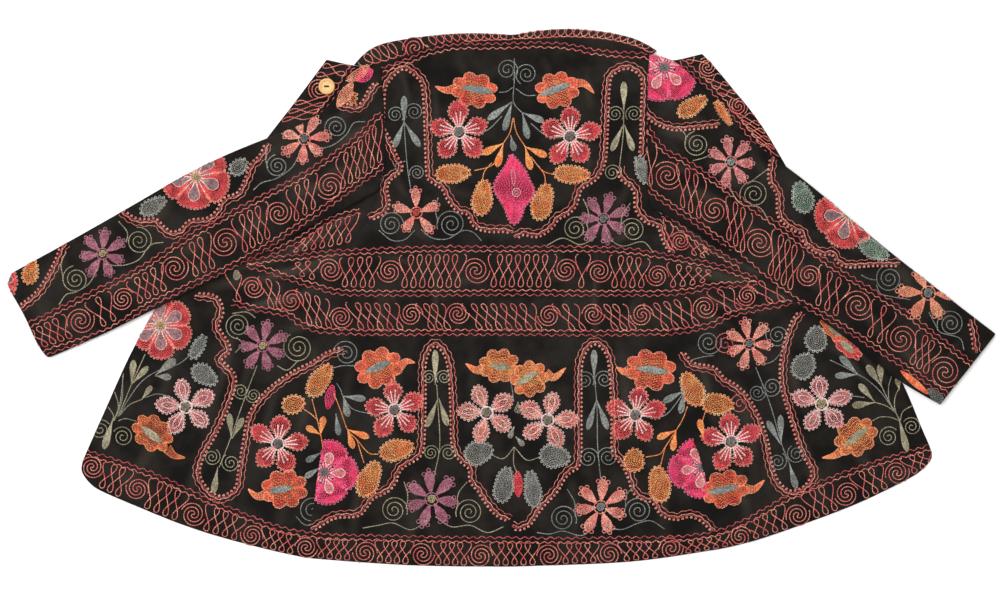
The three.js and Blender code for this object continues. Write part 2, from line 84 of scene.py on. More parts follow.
def colour(name, description, default):
    return FloatVectorProperty(name=name, description=description, default=default,
                               subtype="COLOR", size=3, min=0.0, max=1.0)


class CoatClothSettings(bpy.types.PropertyGroup):
    thickness: length("Thickness", "Velvet, wadding and lining together", 2.1 * MM)
    seam_drop: length("Seam drop", "How far the cloth dips where it is sewn", 0.9 * MM)
    crease_strength: FloatProperty(
        name="Crease strength", description="Share of the charted height of the creases",
        default=1.0, min=0.0, max=2.0)
    rumple: length("Rumple", "Height of the soft unevenness between the creases", 0.75 * MM)
    pile: colour("Pile", "Velvet where its pile is fresh", shade(14, 12, 10))
    # the worn colour serves both the rubbed pile and the painted highlight on the crests of the
    # creases
    worn_and_crest_lit: colour("Worn pile", "Velvet where its pile is rubbed", shade(66, 59, 52))


class CoatThreadSettings(bpy.types.PropertyGroup):
    half_width: length("Half width", "Half the width of a row of chain stitch", 1.12 * MM)
    crest: length("Crest", "How far a row stands above the pile", 0.75 * MM)
    root: length("Root", "How far a row is sunk into the pile", 0.35 * MM)
    waist: FloatProperty(
        name="Waist", description="Width between two stitches, as a share of the full width",
        default=0.66, min=0.1, max=1.0)


class CoatStageSettings(bpy.types.PropertyGroup):
    floor: colour("Floor", "Colour of the table", shade(238, 238, 238))
    camera_height: length("Camera height", "From the table to the lens", 3.258)
    lens: FloatProperty(name="Lens", description="Focal length", default=85.0, unit="CAMERA")
    aim_x: FloatProperty(name="Aim X", description="Middle of the view", default=-2.1 * MM,
                         unit="LENGTH", subtype="DISTANCE")
    aim_y: FloatProperty(name="Aim Y", description="Middle of the view", default=-9.6 * MM,
                         unit="LENGTH", subtype="DISTANCE")
    lamp_power: FloatProperty(name="Lamp power", description="Power of the main soft lamp",
                              default=68.0, unit="POWER")


class CoatSettings(bpy.types.PropertyGroup):
    cloth: PointerProperty(type=CoatClothSettings)
    thread: PointerProperty(type=CoatThreadSettings)
    stage: PointerProperty(type=CoatStageSettings)


def settings():
    return bpy.context.scene.coat


# ---------------------------------------- material building

def group_socket(tree, name, direction, kind, value=None):
    socket = tree.interface.new_socket(name=name, in_out=direction, socket_type=kind)
    if value is not None:
        socket.default_value = value
    return socket


class Tree:
    """Adds nodes to a node tree in a short form."""

    def __init__(self, tree):
        self.tree = tree

    def node(self, kind, inputs=(), **values):
        made = self.tree.nodes.new(kind)
        for key, value in values.items():
            setattr(made, key, value)
        for key, value in dict(inputs).items():
            if isinstance(value, bpy.types.NodeSocket):
                self.link(value, made.inputs[key])
            else:
                made.inputs[key].default_value = value
        return made

    def link(self, made, socket):
        self.tree.links.new(made, socket)

    def math(self, operation, a, b=0.5, clamp=False):
        made = self.node("ShaderNodeMath", {0: a, 1: b}, operation=operation, use_clamp=clamp)
        return made.outputs[0]

    def span(self, value, low, high, to_low=0.0, to_high=1.0):
        """Stretches a value from one span to another, softly, and clamps it."""
        made = self.node("ShaderNodeMapRange",
                         {"Value": value, "From Min": low, "From Max": high,
                          "To Min": to_low, "To Max": to_high},
                         interpolation_type="SMOOTHSTEP")
        return made.outputs["Result"]

    def mix(self, share, a, b):
        made = self.node("ShaderNodeMix", data_type="RGBA")
        for socket, value in ((0, share), (6, a), (7, b)):
            if isinstance(value, bpy.types.NodeSocket):
                self.link(value, made.inputs[socket])
            elif socket == 0:
                made.inputs[0].default_value = value
            else:
                made.inputs[socket].default_value = (*value, 1.0)
        return made.outputs[2]

    def noise(self, where, scale, detail=2.0, roughness=0.5):
        made = self.node("ShaderNodeTexNoise",
                         {"Vector": where, "Scale": scale, "Detail": detail,
                          "Roughness": roughness})
        return made.outputs["Fac"]


def patchy_tone_group():
    """Uneven tone: broad patches and small flecks, as one mask and one value. The velvet takes them
    for rubbed pile, the thread for runs of dye and for flecks of painted shade.
    """
    found = bpy.data.node_groups.get("Patchy tone")
    if found:
        return found
    group = bpy.data.node_groups.new("Patchy tone", "ShaderNodeTree")
    group_socket(group, "Vector", "INPUT", "NodeSocketVector")
    group_socket(group, "Patch Scale", "INPUT", "NodeSocketFloat", 18.0)
    group_socket(group, "Fleck Scale", "INPUT", "NodeSocketFloat", 420.0)
    group_socket(group, "Patches", "OUTPUT", "NodeSocketFloat")
    group_socket(group, "Flecks", "OUTPUT", "NodeSocketFloat")
    tree = Tree(group)
    given = tree.node("NodeGroupInput")
    patches = tree.noise(given.outputs["Vector"], given.outputs["Patch Scale"], 3.0, 0.62)
    flecks = tree.noise(given.outputs["Vector"], given.outputs["Fleck Scale"], 1.0, 0.5)
    tree.node("NodeGroupOutput", {"Patches": tree.span(patches, 0.34, 0.70),
                                  "Flecks": tree.span(flecks, 0.30, 0.72)})
    return group


def patchy_tone(tree, where, patch_scale, fleck_scale):
    """The patches and the flecks of one material, as two masks."""
    tone = tree.node("ShaderNodeGroup", node_tree=patchy_tone_group())
    tree.link(where, tone.inputs["Vector"])
    tone.inputs["Patch Scale"].default_value = patch_scale
    tone.inputs["Fleck Scale"].default_value = fleck_scale
    return tone.outputs["Patches"], tone.outputs["Flecks"]


def new_material(name):
    material = bpy.data.materials.new(name)
    material.use_nodes = True
    material.node_tree.nodes.clear()
    tree = Tree(material.node_tree)
    where = tree.node("ShaderNodeTexCoord").outputs["Object"]
    shader = tree.node("ShaderNodeBsdfPrincipled")
    output = tree.node("ShaderNodeOutputMaterial")
    tree.link(shader.outputs[0], output.inputs[0])
    return material, tree, where, shader


def plug(tree, shader, colour_out, roughness_out, height_out, distance, strength=1.0):
    """Joins a colour, a roughness and a height to a material's shader."""
    bump = tree.node("ShaderNodeBump", {"Height": height_out, "Distance": distance,
                                        "Strength": strength})
    for made, name in ((colour_out, "Base Color"), (roughness_out, "Roughness"),
                       (bump.outputs["Normal"], "Normal")):
        tree.link(made, shader.inputs[name])


def set_sheen(shader, specular, sheen, roughness):
    shader.inputs["Specular IOR Level"].default_value = specular
    shader.inputs["Sheen Weight"].default_value = sheen
    shader.inputs["Sheen Roughness"].default_value = roughness


def darkened(tone, share):
    return tuple(part * share for part in tone)


def velvet_material():
    """Black-brown cotton velvet: short pile, rubbed grey-brown in patches, and grey-brown on the
    crests of folds, partly wear and partly a painted highlight.
    """
    found = bpy.data.materials.get("Aged velvet")
    if found:
        return found
    cloth = settings().cloth
    material, tree, where, shader = new_material("Aged velvet")
    patches, flecks = patchy_tone(tree, where, patch_scale=15.0, fleck_scale=700.0)
    # Painted highlight: the crests of the creases are lightened towards the worn colour by their
    # height, partly for wear and partly as a painted highlight.
    wear_and_crest_highlight = tree.node("ShaderNodeAttribute", attribute_name="wear_and_crest_highlight").outputs["Fac"]
    rubbed_and_crest_lit = tree.math("ADD", tree.math("MULTIPLY", patches, 0.26),
                       tree.math("MULTIPLY", wear_and_crest_highlight, 0.62), clamp=True)
    fleck_share = tree.math("ADD", tree.math("MULTIPLY", flecks, 0.5), 0.62)
    worn_and_crest_lit_share = tree.math("MULTIPLY", rubbed_and_crest_lit, fleck_share, clamp=True)
    body = tree.mix(worn_and_crest_lit_share, cloth.pile, cloth.worn_and_crest_lit)
    pile = tree.noise(where, 1500.0, 1.0)
    nap = tree.noise(where, 260.0, 3.0, 0.6)
    colour_out = tree.mix(tree.span(pile, 0.25, 0.75, 0.0, 0.35), body,
                          darkened(cloth.pile, 0.45))
    height = tree.math("ADD", tree.math("MULTIPLY", pile, 0.5), nap)
    rough = tree.span(patches, 0.0, 1.0, 0.95, 0.84)
    plug(tree, shader, colour_out, rough, height, distance=0.35 * MM, strength=0.7)
    set_sheen(shader, specular=0.12, sheen=0.06, roughness=0.42)
    shader.inputs["Sheen Tint"].default_value = (0.62, 0.55, 0.52, 1.0)
    return material


def thread_material(name, first, second, run):
    """Silky cotton thread: two dyes that run into each other along it, and a fine twist, with painted
    highlight and painted shade: pale and dark flecks, and shade at the roots of its rows.
    """
    found = bpy.data.materials.get(name)
    if found:
        return found
    first, second = shade(*first), shade(*second)
    material, tree, where, shader = new_material(name)
    patches, flecks = patchy_tone(tree, where, patch_scale=1.0 / run, fleck_scale=350.0)
    dye_and_painted_highlight = tree.mix(patches, first, second)
    fibre = tree.noise(where, 1900.0, 1.0)
    # Painted highlight: pale flecks at random, where the silk would catch the light.
    shine = tree.span(tree.noise(where, 430.0, 1.0), 0.52, 0.74, 0.0, 0.28)
    dye_and_painted_highlight = tree.mix(shine, dye_and_painted_highlight, tuple(0.45 + 0.55 * part for part in first))
    # Painted shade: dark flecks at random, for the specks of shade between the stitches.
    dusty = tree.mix(tree.math("MULTIPLY", flecks, 0.74), dye_and_painted_highlight, darkened(second, 0.38))
    # Painted shade: the depth attribute darkens the thread at the roots of each row and where a
    # stitch enters the cloth.
    depth = tree.node("ShaderNodeAttribute", attribute_name="depth").outputs["Fac"]
    root_shade_share = tree.math("MULTIPLY", tree.math("POWER", depth, 1.8), 0.8)
    sunk = tree.mix(root_shade_share, dusty, darkened(second, 0.10))
    rough = tree.span(fibre, 0.2, 0.8, 0.52, 0.78)
    plug(tree, shader, sunk, rough, fibre, distance=0.22 * MM, strength=0.8)
    set_sheen(shader, specular=0.35, sheen=0.12, roughness=0.4)
    return material


def wood_material():
    """Pale turned wood with fine rings."""
    material, tree, where, shader = new_material("Turned boxwood")
    grain = tree.node("ShaderNodeTexWave",
                      {"Vector": where, "Scale": 260.0, "Distortion": 7.0, "Detail": 3.0,
                       "Detail Scale": 1.6}, wave_type="BANDS")
    pores = tree.noise(where, 900.0, 2.0)
    body = tree.mix(grain.outputs["Fac"], shade(222, 184, 112), shade(176, 122, 62))
    colour_out = tree.mix(tree.span(pores, 0.52, 0.74, 0.0, 0.5), body, shade(120, 78, 40))
    rough = tree.span(pores, 0.3, 0.7, 0.34, 0.52)
    plug(tree, shader, colour_out, rough, pores, distance=0.1 * MM)
    shader.inputs["Coat Weight"].default_value = 0.25
    shader.inputs["Coat Roughness"].default_value = 0.3
    return material


# ---------------------------------------- pieces

def new_piece(name, mesh, material):
    """Puts a finished mesh in the scene, riding with the coat."""
    piece = bpy.data.objects.new(name, mesh)
    bpy.context.scene.collection.objects.link(piece)
    mesh.materials.clear()
    mesh.materials.append(material)
    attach(piece, "root")
    return piece


def evaluated_mesh(holder):
    """The finished mesh of a curve or of an object with modifiers, which is then removed."""
    bpy.context.scene.collection.objects.link(holder)
    ready = holder.evaluated_get(bpy.context.evaluated_depsgraph_get())
    made = bpy.data.meshes.new_from_object(ready)
    bpy.data.objects.remove(holder)
    return made


def subdivided(mesh, levels, **values):
    """The mesh as a Subdivision Surface modifier leaves it."""
    holder = bpy.data.objects.new("holder", mesh)
    modifier = holder.modifiers.new("Subdivision", "SUBSURF")
    modifier.levels = levels
    modifier.render_levels = levels
    for key, value in values.items():
        setattr(modifier, key, value)
    made = evaluated_mesh(holder)
    bpy.data.meshes.remove(mesh)
    return made


def coordinates(mesh):
    flat = np.empty(len(mesh.vertices) * 3, dtype=np.float64)
    mesh.vertices.foreach_get("co", flat)
    return flat.reshape(-1, 3)


def set_coordinates(mesh, points):
    mesh.vertices.foreach_set("co", points.reshape(-1).astype(np.float32))
    mesh.update()


def smooth_step(value):
    share = np.clip(value, 0.0, 1.0)
    return share * share * (3.0 - 2.0 * share)


# ---------------------------------------- creases

# Soft creases of the cloth, in mm on the chart. bend pushes the middle of a crease to its left.
# A ridge has a height above nothing, a trough one below.
CREASE_COLUMNS = ("x1", "y1", "x2", "y2", "bend", "width", "height")
BODY_CREASES = (
    # the back, between the shoulders
    (-142, 318, -128, 262, 3, 5, 1.3), (-60, 330, -36, 300, -4, 6, 1.0),
    (-96, 300, -92, 232, 3, 5, 1.1), (-44, 206, -60, 150, 4, 6, -0.7),
    (15, 330, 12, 214, 2, 5, -0.8), (52, 336, 66, 300, 3, 6, 0.9),
    (118, 322, 126, 262, -4, 6, 1.2), (150, 330, 176, 300, 5, 5, 1.1),
    (120, 208, 112, 150, 3, 5, 1.0), (-150, 176, -120, 132, -4, 6, 1.3),
    (176, 176, 158, 126, 4, 6, 1.2), (-76, 150, -20, 128, 5, 7, 0.9),
    (36, 132, 96, 142, -5, 7, 0.8), (-130, 112, -92, 78, -3, 6, 1.5),
    (196, 112, 150, 76, 4, 6, 1.6), (-30, 92, 34, 84, 3, 8, 0.7),
    # the waist, gathered by the seam and the darts
    (-92, 78, -94, -66, 2, 4, 1.9), (-99, 70, -104, -40, -2, 3.5, -0.9),
    (131, 76, 129, -62, -2, 4, 2.0), (138, 66, 140, -44, 2, 3.5, -0.9),
    (-176, 58, -120, 46, 4, 5, 1.5), (-70, 26, -12, 30, -3, 5, 1.0),
    (40, 30, 104, 22, 3, 5, 1.0), (150, 42, 214, 52, -4, 5, 1.5),
    (-60, -8, -64, -60, 2, 5, 0.9), (40, -6, 44, -56, -2, 5, 0.8),
    (-168, 4, -172, -54, 2, 5, 1.1), (182, 2, 180, -52, -2, 5, 1.1),
    (-16, 8, -18, -40, 1, 4, 0.9), (88, 6, 86, -42, 1, 4, 0.8),
    # under the left sleeve, where front and side are pulled together
    (-188, 118, -286, 66, -6, 6, 2.6), (-206, 92, -322, 46, -7, 5, 2.2),
    (-216, 66, -338, 30, 5, 6, 2.9), (-226, 40, -352, 18, -6, 5, 2.4),
    (-240, 20, -350, -8, 5, 6, 2.2), (-262, 2, -372, -24, -5, 6, 1.9),
    (-232, -18, -300, -44, 4, 6, 1.7), (-300, 62, -392, 40, 4, 6, 1.8),
    (-330, 20, -408, 14, -4, 7, 1.6),
    # under the right sleeve
    (232, 104, 292, 58, 6, 6, 2.4), (236, 78, 330, 44, 6, 5, 2.2),
    (240, 54, 348, 26, -5, 6, 2.8), (248, 32, 362, 8, 5, 5, 2.3),
    (262, 8, 372, -18, -5, 6, 2.0), (250, -16, 322, -44, 5, 6, 1.6),
    (318, 52, 400, 30, -4, 6, 1.8), (356, 6, 420, -8, 4, 7, 1.5),
    # the skirt, where the flare falls in soft channels
    (-150, -58, -168, -212, 6, 9, 1.6), (-206, -84, -222, -216, -4, 8, 1.3),
    (-40, -70, -46, -190, 3, 9, 1.0), (-120, -236, -128, -346, 3, 9, 1.2),
    (-22, -224, -26, -350, -3, 8, 1.0), (58, -64, 68, -190, -3, 9, 1.1),
    (92, -214, 100, -344, 3, 8, 1.2), (168, -62, 182, -196, -5, 8, 1.5),
    (206, -216, 226, -338, 4, 9, 1.4), (-190, -240, -206, -350, -4, 8, 1.3),
    (-258, -66, -282, -190, 5, 7, 1.9), (-300, -96, -336, -236, -5, 8, 1.5),
    (-294, -222, -312, -330, 4, 8, 1.4), (276, -68, 300, -186, -5, 7, 1.8),
    (316, -104, 352, -240, 5, 8, 1.5), (326, -232, 348, -318, -4, 8, 1.3),
    (-372, -40, -412, -168, 6, 8, 1.7), (-430, -30, -468, -150, -6, 8, 1.5),
    (-396, -186, -440, -300, -5, 9, 1.4), (-470, -170, -520, -256, 5, 9, 1.4),
    (386, -44, 428, -168, -6, 8, 1.7), (404, -186, 446, -296, 5, 9, 1.4),
    (470, -170, 520, -250, -5, 9, 1.3), (452, -62, 512, -132, 5, 6, 2.0),
    (486, -62, 540, -120, -4, 6, 1.6), (-344, -64, -362, -130, 3, 7, 1.3),
    # small dents across the channels
    (-250, -232, -214, -262, 3, 9, -0.9), (214, -140, 262, -160, 3, 9, -0.9),
    (-86, -196, -52, -214, 3, 9, -0.8), (70, -236, 112, -252, 3, 9, -0.8),
    (-438, -206, -404, -232, 3, 9, -0.9), (424, -226, 470, -214, 3, 9, -0.9),
    (-196, -134, -160, -120, 3, 9, -0.7), (-330, -268, -300, -290, 3, 8, -0.8),
    # the fronts' top corners and edges
    (-236, 318, -262, 284, 3, 6, 1.2), (-226, 300, -216, 322, 2, 5, 0.9),
    (268, 326, 300, 286, -3, 6, 1.2), (-560, -232, -486, -268, 3, 8, 1.1),
    (500, -262, 574, -226, -3, 8, 1.1),
)
SLEEVE_CREASES = (
    # the left sleeve, from the armhole to the cuff
    (-176, 306, -196, 262, 6, 7, 2.0), (-178, 236, -232, 200, -6, 8, 2.2),
    (-182, 190, -246, 176, 5, 7, 1.8), (-206, 262, -258, 236, 5, 8, 1.6),
    (-214, 156, -292, 136, -7, 8, 2.0), (-252, 190, -322, 150, 8, 10, 1.6),
    (-300, 214, -332, 176, -4, 8, 1.3), (-322, 122, -392, 70, 6, 9, 1.9),
    (-372, 176, -420, 128, -6, 9, 1.5), (-402, 98, -470, 44, 6, 9, 1.7),
    (-452, 148, -500, 92, 6, 9, 1.4), (-486, 40, -552, 2, -5, 9, 1.6),
    (-532, 96, -576, 44, -6, 9, 1.4), (-566, -4, -620, -52, 5, 8, 1.6),
    (-600, 60, -646, 14, 5, 8, 1.3), (-282, 108, -352, 74, 5, 7, -1.1),
    (-420, 64, -500, 22, -5, 7, -1.0), (-556, 62, -610, 24, -4, 8, -0.9),
    (-640, -2, -622, -60, 4, 7, 1.1),
    # the right sleeve
    (212, 316, 238, 262, -6, 7, 2.0), (214, 234, 276, 206, 6, 8, 2.2),
    (212, 190, 272, 180, -5, 7, 1.7), (246, 262, 292, 240, -5, 8, 1.5),
    (238, 150, 312, 124, 7, 8, 2.0), (284, 198, 346, 152, -8, 10, 1.6),
    (340, 200, 366, 158, 4, 8, 1.3), (332, 108, 396, 52, -6, 9, 1.9),
    (392, 164, 434, 108, 6, 9, 1.5), (396, 60, 466, -2, -6, 9, 1.7),
    (458, 116, 500, 60, -6, 9, 1.4), (472, -2, 530, -58, 5, 9, 1.6),
    (520, 62, 566, 8, 6, 9, 1.4), (540, -48, 592, -104, -5, 8, 1.6),
    (584, 14, 632, -44, -5, 8, 1.3), (300, 84, 366, 34, -5, 7, -1.1),
    (430, 18, 500, -40, 5, 7, -1.0), (560, 8, 604, -48, 4, 8, -0.9),
    (640, -50, 604, -110, -4, 7, 1.1),
)
FLANK_WIDTH = 2.3  # the cloth beside a ridge dips, this many ridge widths wide
FLANK_DEPTH = 0.30
CREASE_BLUNTNESS = 0.75  # under 1, a crease keeps its height for most of its length
RUMPLE_SPACING = 34.0  # mm between the soft dents
CREST_WEAR_AND_HIGHLIGHT_HEIGHT = 2.6  # a ridge of this height, in mm, is as light on its crest as it goes: partly wear, partly painted highlight
SHALLOWEST = 0.2  # mm that stay above the table under the deepest trough


def crease_heights(points, creases):
    """Height of all the creases over each place, in mm, and how light each place is on a crest:
    partly wear, partly painted highlight.
    """
    x, y = points[:, 0], points[:, 1]
    height = np.zeros(len(points))
    for row in creases:
        crease = dict(zip(CREASE_COLUMNS, row))
        run = np.array((crease["x2"] - crease["x1"], crease["y2"] - crease["y1"]), float)
        size = np.hypot(*run)
        run /= size
        along = ((x - crease["x1"]) * run[0] + (y - crease["y1"]) * run[1]) / size
        share = np.clip(along, 0.0, 1.0)
        side = (y - crease["y1"]) * run[0] - (x - crease["x1"]) * run[1]
        side = side - crease["bend"] * 4.0 * share * (1.0 - share)
        away = np.hypot(side, (along - share) * size) / crease["width"]
        body = np.sin(np.pi * share) ** CREASE_BLUNTNESS
        ridge = np.exp(-away ** 2)
        flank = np.exp(-(away / FLANK_WIDTH) ** 2)
        height += crease["height"] * body * ((1 + FLANK_DEPTH) * ridge - FLANK_DEPTH * flank)
    return height, np.clip(height / CREST_WEAR_AND_HIGHLIGHT_HEIGHT, 0.0, 1.0)


def rumple_heights(points, spacing):
    return np.array([noise.noise(Vector((x / spacing, y / spacing, 0.37)))
                     + 0.45 * noise.noise(Vector((x / spacing * 2.3, y / spacing * 2.3, 4.1)))
                     for x, y in points[:, :2]])


def on_chart(points):
    """Points of a mesh, in metres, as places on the chart, in mm."""
    return points / MM - np.array(CHART_SHIFT)


# ---------------------------------------- cloth shells

# The cut of each panel: its width and length, in metres, and its flat area, in square metres.
PANELS = (
    # node, width, length, area
    ("back_left", 0.234, 0.354, 0.0670), ("back_right", 0.228, 0.359, 0.0695),
    ("side_left", 0.066, 0.146, 0.0055), ("side_right", 0.060, 0.122, 0.0035),
    ("front_left", 0.261, 0.310, 0.0442), ("front_right", 0.251, 0.320, 0.0488),
    ("skirt_front_left", 0.299, 0.392, 0.0706), ("skirt_side_left", 0.165, 0.377, 0.0317),
    ("skirt_back_left", 0.285, 0.373, 0.0941), ("skirt_back_right", 0.286, 0.373, 0.0905),
    ("skirt_side_right", 0.142, 0.363, 0.0266), ("skirt_front_right", 0.295, 0.383, 0.0696),
)
TUBES = (
    # node, width, length, area all round, the panel it rests on
    ("sleeve_left", 0.330, 0.560, 0.1530, "front_left"),
    ("sleeve_right", 0.330, 0.575, 0.1535, "front_right"),
)
COLLARS = (
    ("collar_left", 0.218, 0.043, 0.0077, "back_left"),
    ("collar_right", 0.197, 0.043, 0.0065, "back_right"),
)
SLEEVES = ("sleeve_left", "sleeve_right")
PANEL_LEVELS = 3  # smoothing of a panel, and of a closed wall
WALL_LEVELS = 2
MERGE = 0.01 * MM  # points of a node closer than this are one point
FLAT_ENOUGH = 0.25  # upward part of a face's normal that makes it part of the upper side
FOLD_ANGLE = math.radians(46)
CUT_ANGLE = math.radians(66)  # a cut edge of the cloth turns at least this much
CUT_CREASE = 0.9  # how sharp a cut edge stays
CORNER_ANGLE = math.radians(24)
PANEL_CORNER = math.radians(50)
FREE_CREASE = 0.2  # how sharp a rounded corner stays
ROUNDED = ("skirt_front_left", "skirt_front_right")  # panels whose free corners are round
SEAM_MATCH = 0.5  # mm: two rims closer than this are sewn together
RIM_ANGLE = math.radians(48)
SEAM_OVERLAP = 0.22  # mm that a panel's edge is drawn over its seam line
FOLD_REACH = 1.1  # mm that the folds of a sleeve or collar are moved outwards
UPPER_LAYER = (4.4, 7.2)  # mm: between these heights a sleeve's lower layer becomes its upper
COLLAR_WEAR = 0.25  # how far the collar is rubbed, from 0 to 1
ABOVE_ALL = 0.05  # metres: a height over the whole coat


class Ground:
    """The finished cloth that thread is sewn to: finds its height under a place."""

    def __init__(self):
        self.sheets = {}

    def add(self, name, piece):
        tree = BVHTree.FromObject(piece, bpy.context.evaluated_depsgraph_get())
        points = coordinates(piece.data)
        self.sheets[name] = (tree, points.min(axis=0), points.max(axis=0))

    def height(self, x, y, names):
        """The highest cloth under a place, in metres, or None where there is none."""
        best = None
        for name in names:
            tree, low, high = self.sheets[name]
            if not (low[0] <= x <= high[0] and low[1] <= y <= high[1]):
                continue
            spot = tree.ray_cast(Vector((x, y, ABOVE_ALL)), Vector((0, 0, -1)))[0]
            if spot is not None and (best is None or spot.z > best):
                best = spot.z
        return best


GROUND = Ground()


def merged_copy(node):
    """A CAD node's shape with shared points."""
    bm = bmesh.new()
    bm.from_mesh(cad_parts[node].data)
    bmesh.ops.remove_doubles(bm, verts=bm.verts, dist=MERGE)
    bm.normal_update()
    return bm


def pair_triangles(bm, steepest):
    """Joins triangles into four-sided faces where they meet no steeper than an angle."""
    bmesh.ops.join_triangles(bm, faces=bm.faces, angle_face_threshold=steepest,
                             angle_shape_threshold=math.pi, cmp_seam=False, cmp_sharp=False,
                             cmp_uvs=False, cmp_vcols=False, cmp_materials=False)


def finished_mesh(bm, name):
    mesh = bpy.data.meshes.new(name)
    bm.to_mesh(mesh)
    bm.free()
    return mesh


def shade_softly(mesh, angle=RIM_ANGLE):
    mesh.shade_smooth()
    mesh.set_sharp_from_angle(angle=angle)


def add_wear_and_crest_highlight(mesh, wear_and_crest_highlight):
    layer = mesh.attributes.new("wear_and_crest_highlight", "FLOAT", "POINT")
    layer.data.foreach_set("value", wear_and_crest_highlight.astype(np.float32))


def upper_side(node):
    """Only the upper faces of a panel's wall, as one open sheet with its corners kept."""
    bm = merged_copy(node)
    hidden = [face for face in bm.faces if face.normal.z < FLAT_ENOUGH]
    bmesh.ops.delete(bm, geom=hidden, context="FACES")
    pair_triangles(bm, math.pi)
    corner = bm.verts.layers.float.new("crease_vert")
    for vert in bm.verts:
        rim = [edge for edge in vert.link_edges if edge.is_boundary]
        ends = [edge.other_vert(vert).co - vert.co for edge in rim]
        if len(ends) == 2 and ends[0].angle(-ends[1]) > PANEL_CORNER:
            vert[corner] = 1.0
    return finished_mesh(bm, node + " upper side")


def rim_segments(mesh):
    """The rim of an open sheet: rows of x1, y1, x2, y2, in metres."""
    bm = bmesh.new()
    bm.from_mesh(mesh)
    rows = [(*edge.verts[0].co.xy, *edge.verts[1].co.xy) for edge in bm.edges
            if edge.is_boundary]
    bm.free()
    return np.array(rows)


def nearest_on(segments, place):
    """The point of a rim that is nearest to a place."""
    start, run = segments[:, :2], segments[:, 2:] - segments[:, :2]
    away = np.array(place) - start
    share = (away * run).sum(axis=1) / np.maximum((run ** 2).sum(axis=1), MERGE ** 2)
    feet = start + np.clip(share, 0.0, 1.0)[:, None] * run
    return feet[np.argmin(((feet - np.array(place)) ** 2).sum(axis=1))]


def free_corners(mesh, others):
    """Lets the corners that meet no other panel go round."""
    sharp = mesh.attributes["crease_vert"].data
    for vert, mark in zip(mesh.vertices, sharp):
        foot = nearest_on(others, vert.co.xy)
        if np.hypot(*(foot - np.array(vert.co.xy))) > SEAM_MATCH * MM:
            mark.value = FREE_CREASE


def sink_rim(mesh, drop, own, others):
    """Dips the edge of an open sheet, and draws it to its seam lines and a little over them."""
    bm = bmesh.new()
    bm.from_mesh(mesh)
    bm.normal_update()
    rim = [edge for edge in bm.edges if edge.is_boundary]
    pulls = {}
    for edge in rim:
        loop = edge.link_loops[0]
        run = loop.link_loop_next.vert.co - loop.vert.co
        outwards = Vector((run.y, -run.x, 0.0)).normalized()
        for vert in edge.verts:
            pulls[vert] = pulls.get(vert, Vector()) + outwards
    for vert, pull in pulls.items():
        foot = nearest_on(own, vert.co.xy)
        if np.hypot(*(nearest_on(others, foot) - foot)) < SEAM_MATCH * MM:
            vert.co.xy = foot
        vert.co += pull.normalized() * SEAM_OVERLAP * MM
        vert.co.z = max(vert.co.z - drop, SHALLOWEST * MM)
    bm.to_mesh(mesh)
    bm.free()


def give_thickness(mesh, thickness):
    """Closes an open sheet into a wall that goes down from it, no lower than the table."""
    bm = bmesh.new()
    bm.from_mesh(mesh)
    lower = list(bm.verts)
    bmesh.ops.extrude_face_region(bm, geom=list(bm.faces), use_keep_orig=True)
    for vert in lower:
        vert.co.z = max(vert.co.z - thickness, 0.0)
    bmesh.ops.recalc_face_normals(bm, faces=bm.faces)
    bm.to_mesh(mesh)
    bm.free()


def press_creases(mesh, creases, weight=None):
    """Moves the points of a sheet up and down by its creases and its rumple, and returns its crests'
    wear and painted highlight.
    """
    cloth = settings().cloth
    points = coordinates(mesh)
    chart = on_chart(points)
    height, wear_and_crest_highlight = crease_heights(chart, creases)
    rise = height * cloth.crease_strength * MM
    rise += rumple_heights(chart, RUMPLE_SPACING) * cloth.rumple
    if weight is not None:
        rise *= weight(points)
        wear_and_crest_highlight *= weight(points)
    floor = np.minimum(points[:, 2], SHALLOWEST * MM)
    points[:, 2] = np.maximum(points[:, 2] + rise, floor)
    set_coordinates(mesh, points)
    return wear_and_crest_highlight


def panel_rims():
    """The rim of every panel, by node."""
    rims = {}
    for node, *_ in PANELS:
        side = upper_side(node)
        rims[node] = rim_segments(side)
        bpy.data.meshes.remove(side)
    return rims


def velvet_piece(node, mesh):
    """Puts a finished velvet shell in the place of its node, ready to be sewn on."""
    shade_softly(mesh)
    piece = new_piece(node + "_velvet", mesh, velvet_material())
    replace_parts(piece, node)
    GROUND.add(node, piece)


def cloth_panel(node, width, long, area, rims):
    """One panel: its upper side softened, creased, drawn to its seams and made a wall."""
    cloth = settings().cloth
    others = np.concatenate([rows for name, rows in rims.items() if name != node])
    side = upper_side(node)
    rounded = node in ROUNDED
    if rounded:
        free_corners(side, others)
    mesh = subdivided(side, PANEL_LEVELS, use_creases=True,
                      boundary_smooth="ALL" if rounded else "PRESERVE_CORNERS")
    wear_and_crest_highlight = press_creases(mesh, BODY_CREASES)
    sink_rim(mesh, cloth.seam_drop, rims[node], others)
    add_wear_and_crest_highlight(mesh, wear_and_crest_highlight)
    give_thickness(mesh, cloth.thickness)
    velvet_piece(node, mesh)


def closed_wall(node):
    """A sleeve or collar as a smooth closed wall, its cut rims kept crisp."""
    bm = merged_copy(node)
    pair_triangles(bm, FOLD_ANGLE)
    crisp = bm.edges.layers.float.new("crease_edge")
    corner = bm.verts.layers.float.new("crease_vert")
    rims = [edge for edge in bm.edges if edge.calc_face_angle() > CUT_ANGLE]
    for edge in rims:
        edge[crisp] = CUT_CREASE
    for vert in {vert for edge in rims for vert in edge.verts}:
        ends = [edge.other_vert(vert).co - vert.co for edge in vert.link_edges if edge in rims]
        turned = len(ends) == 2 and ends[0].angle(-ends[1]) > CORNER_ANGLE
        vert[corner] = 1.0 if turned else 0.0
    return subdivided(finished_mesh(bm, node + " wall"), WALL_LEVELS)


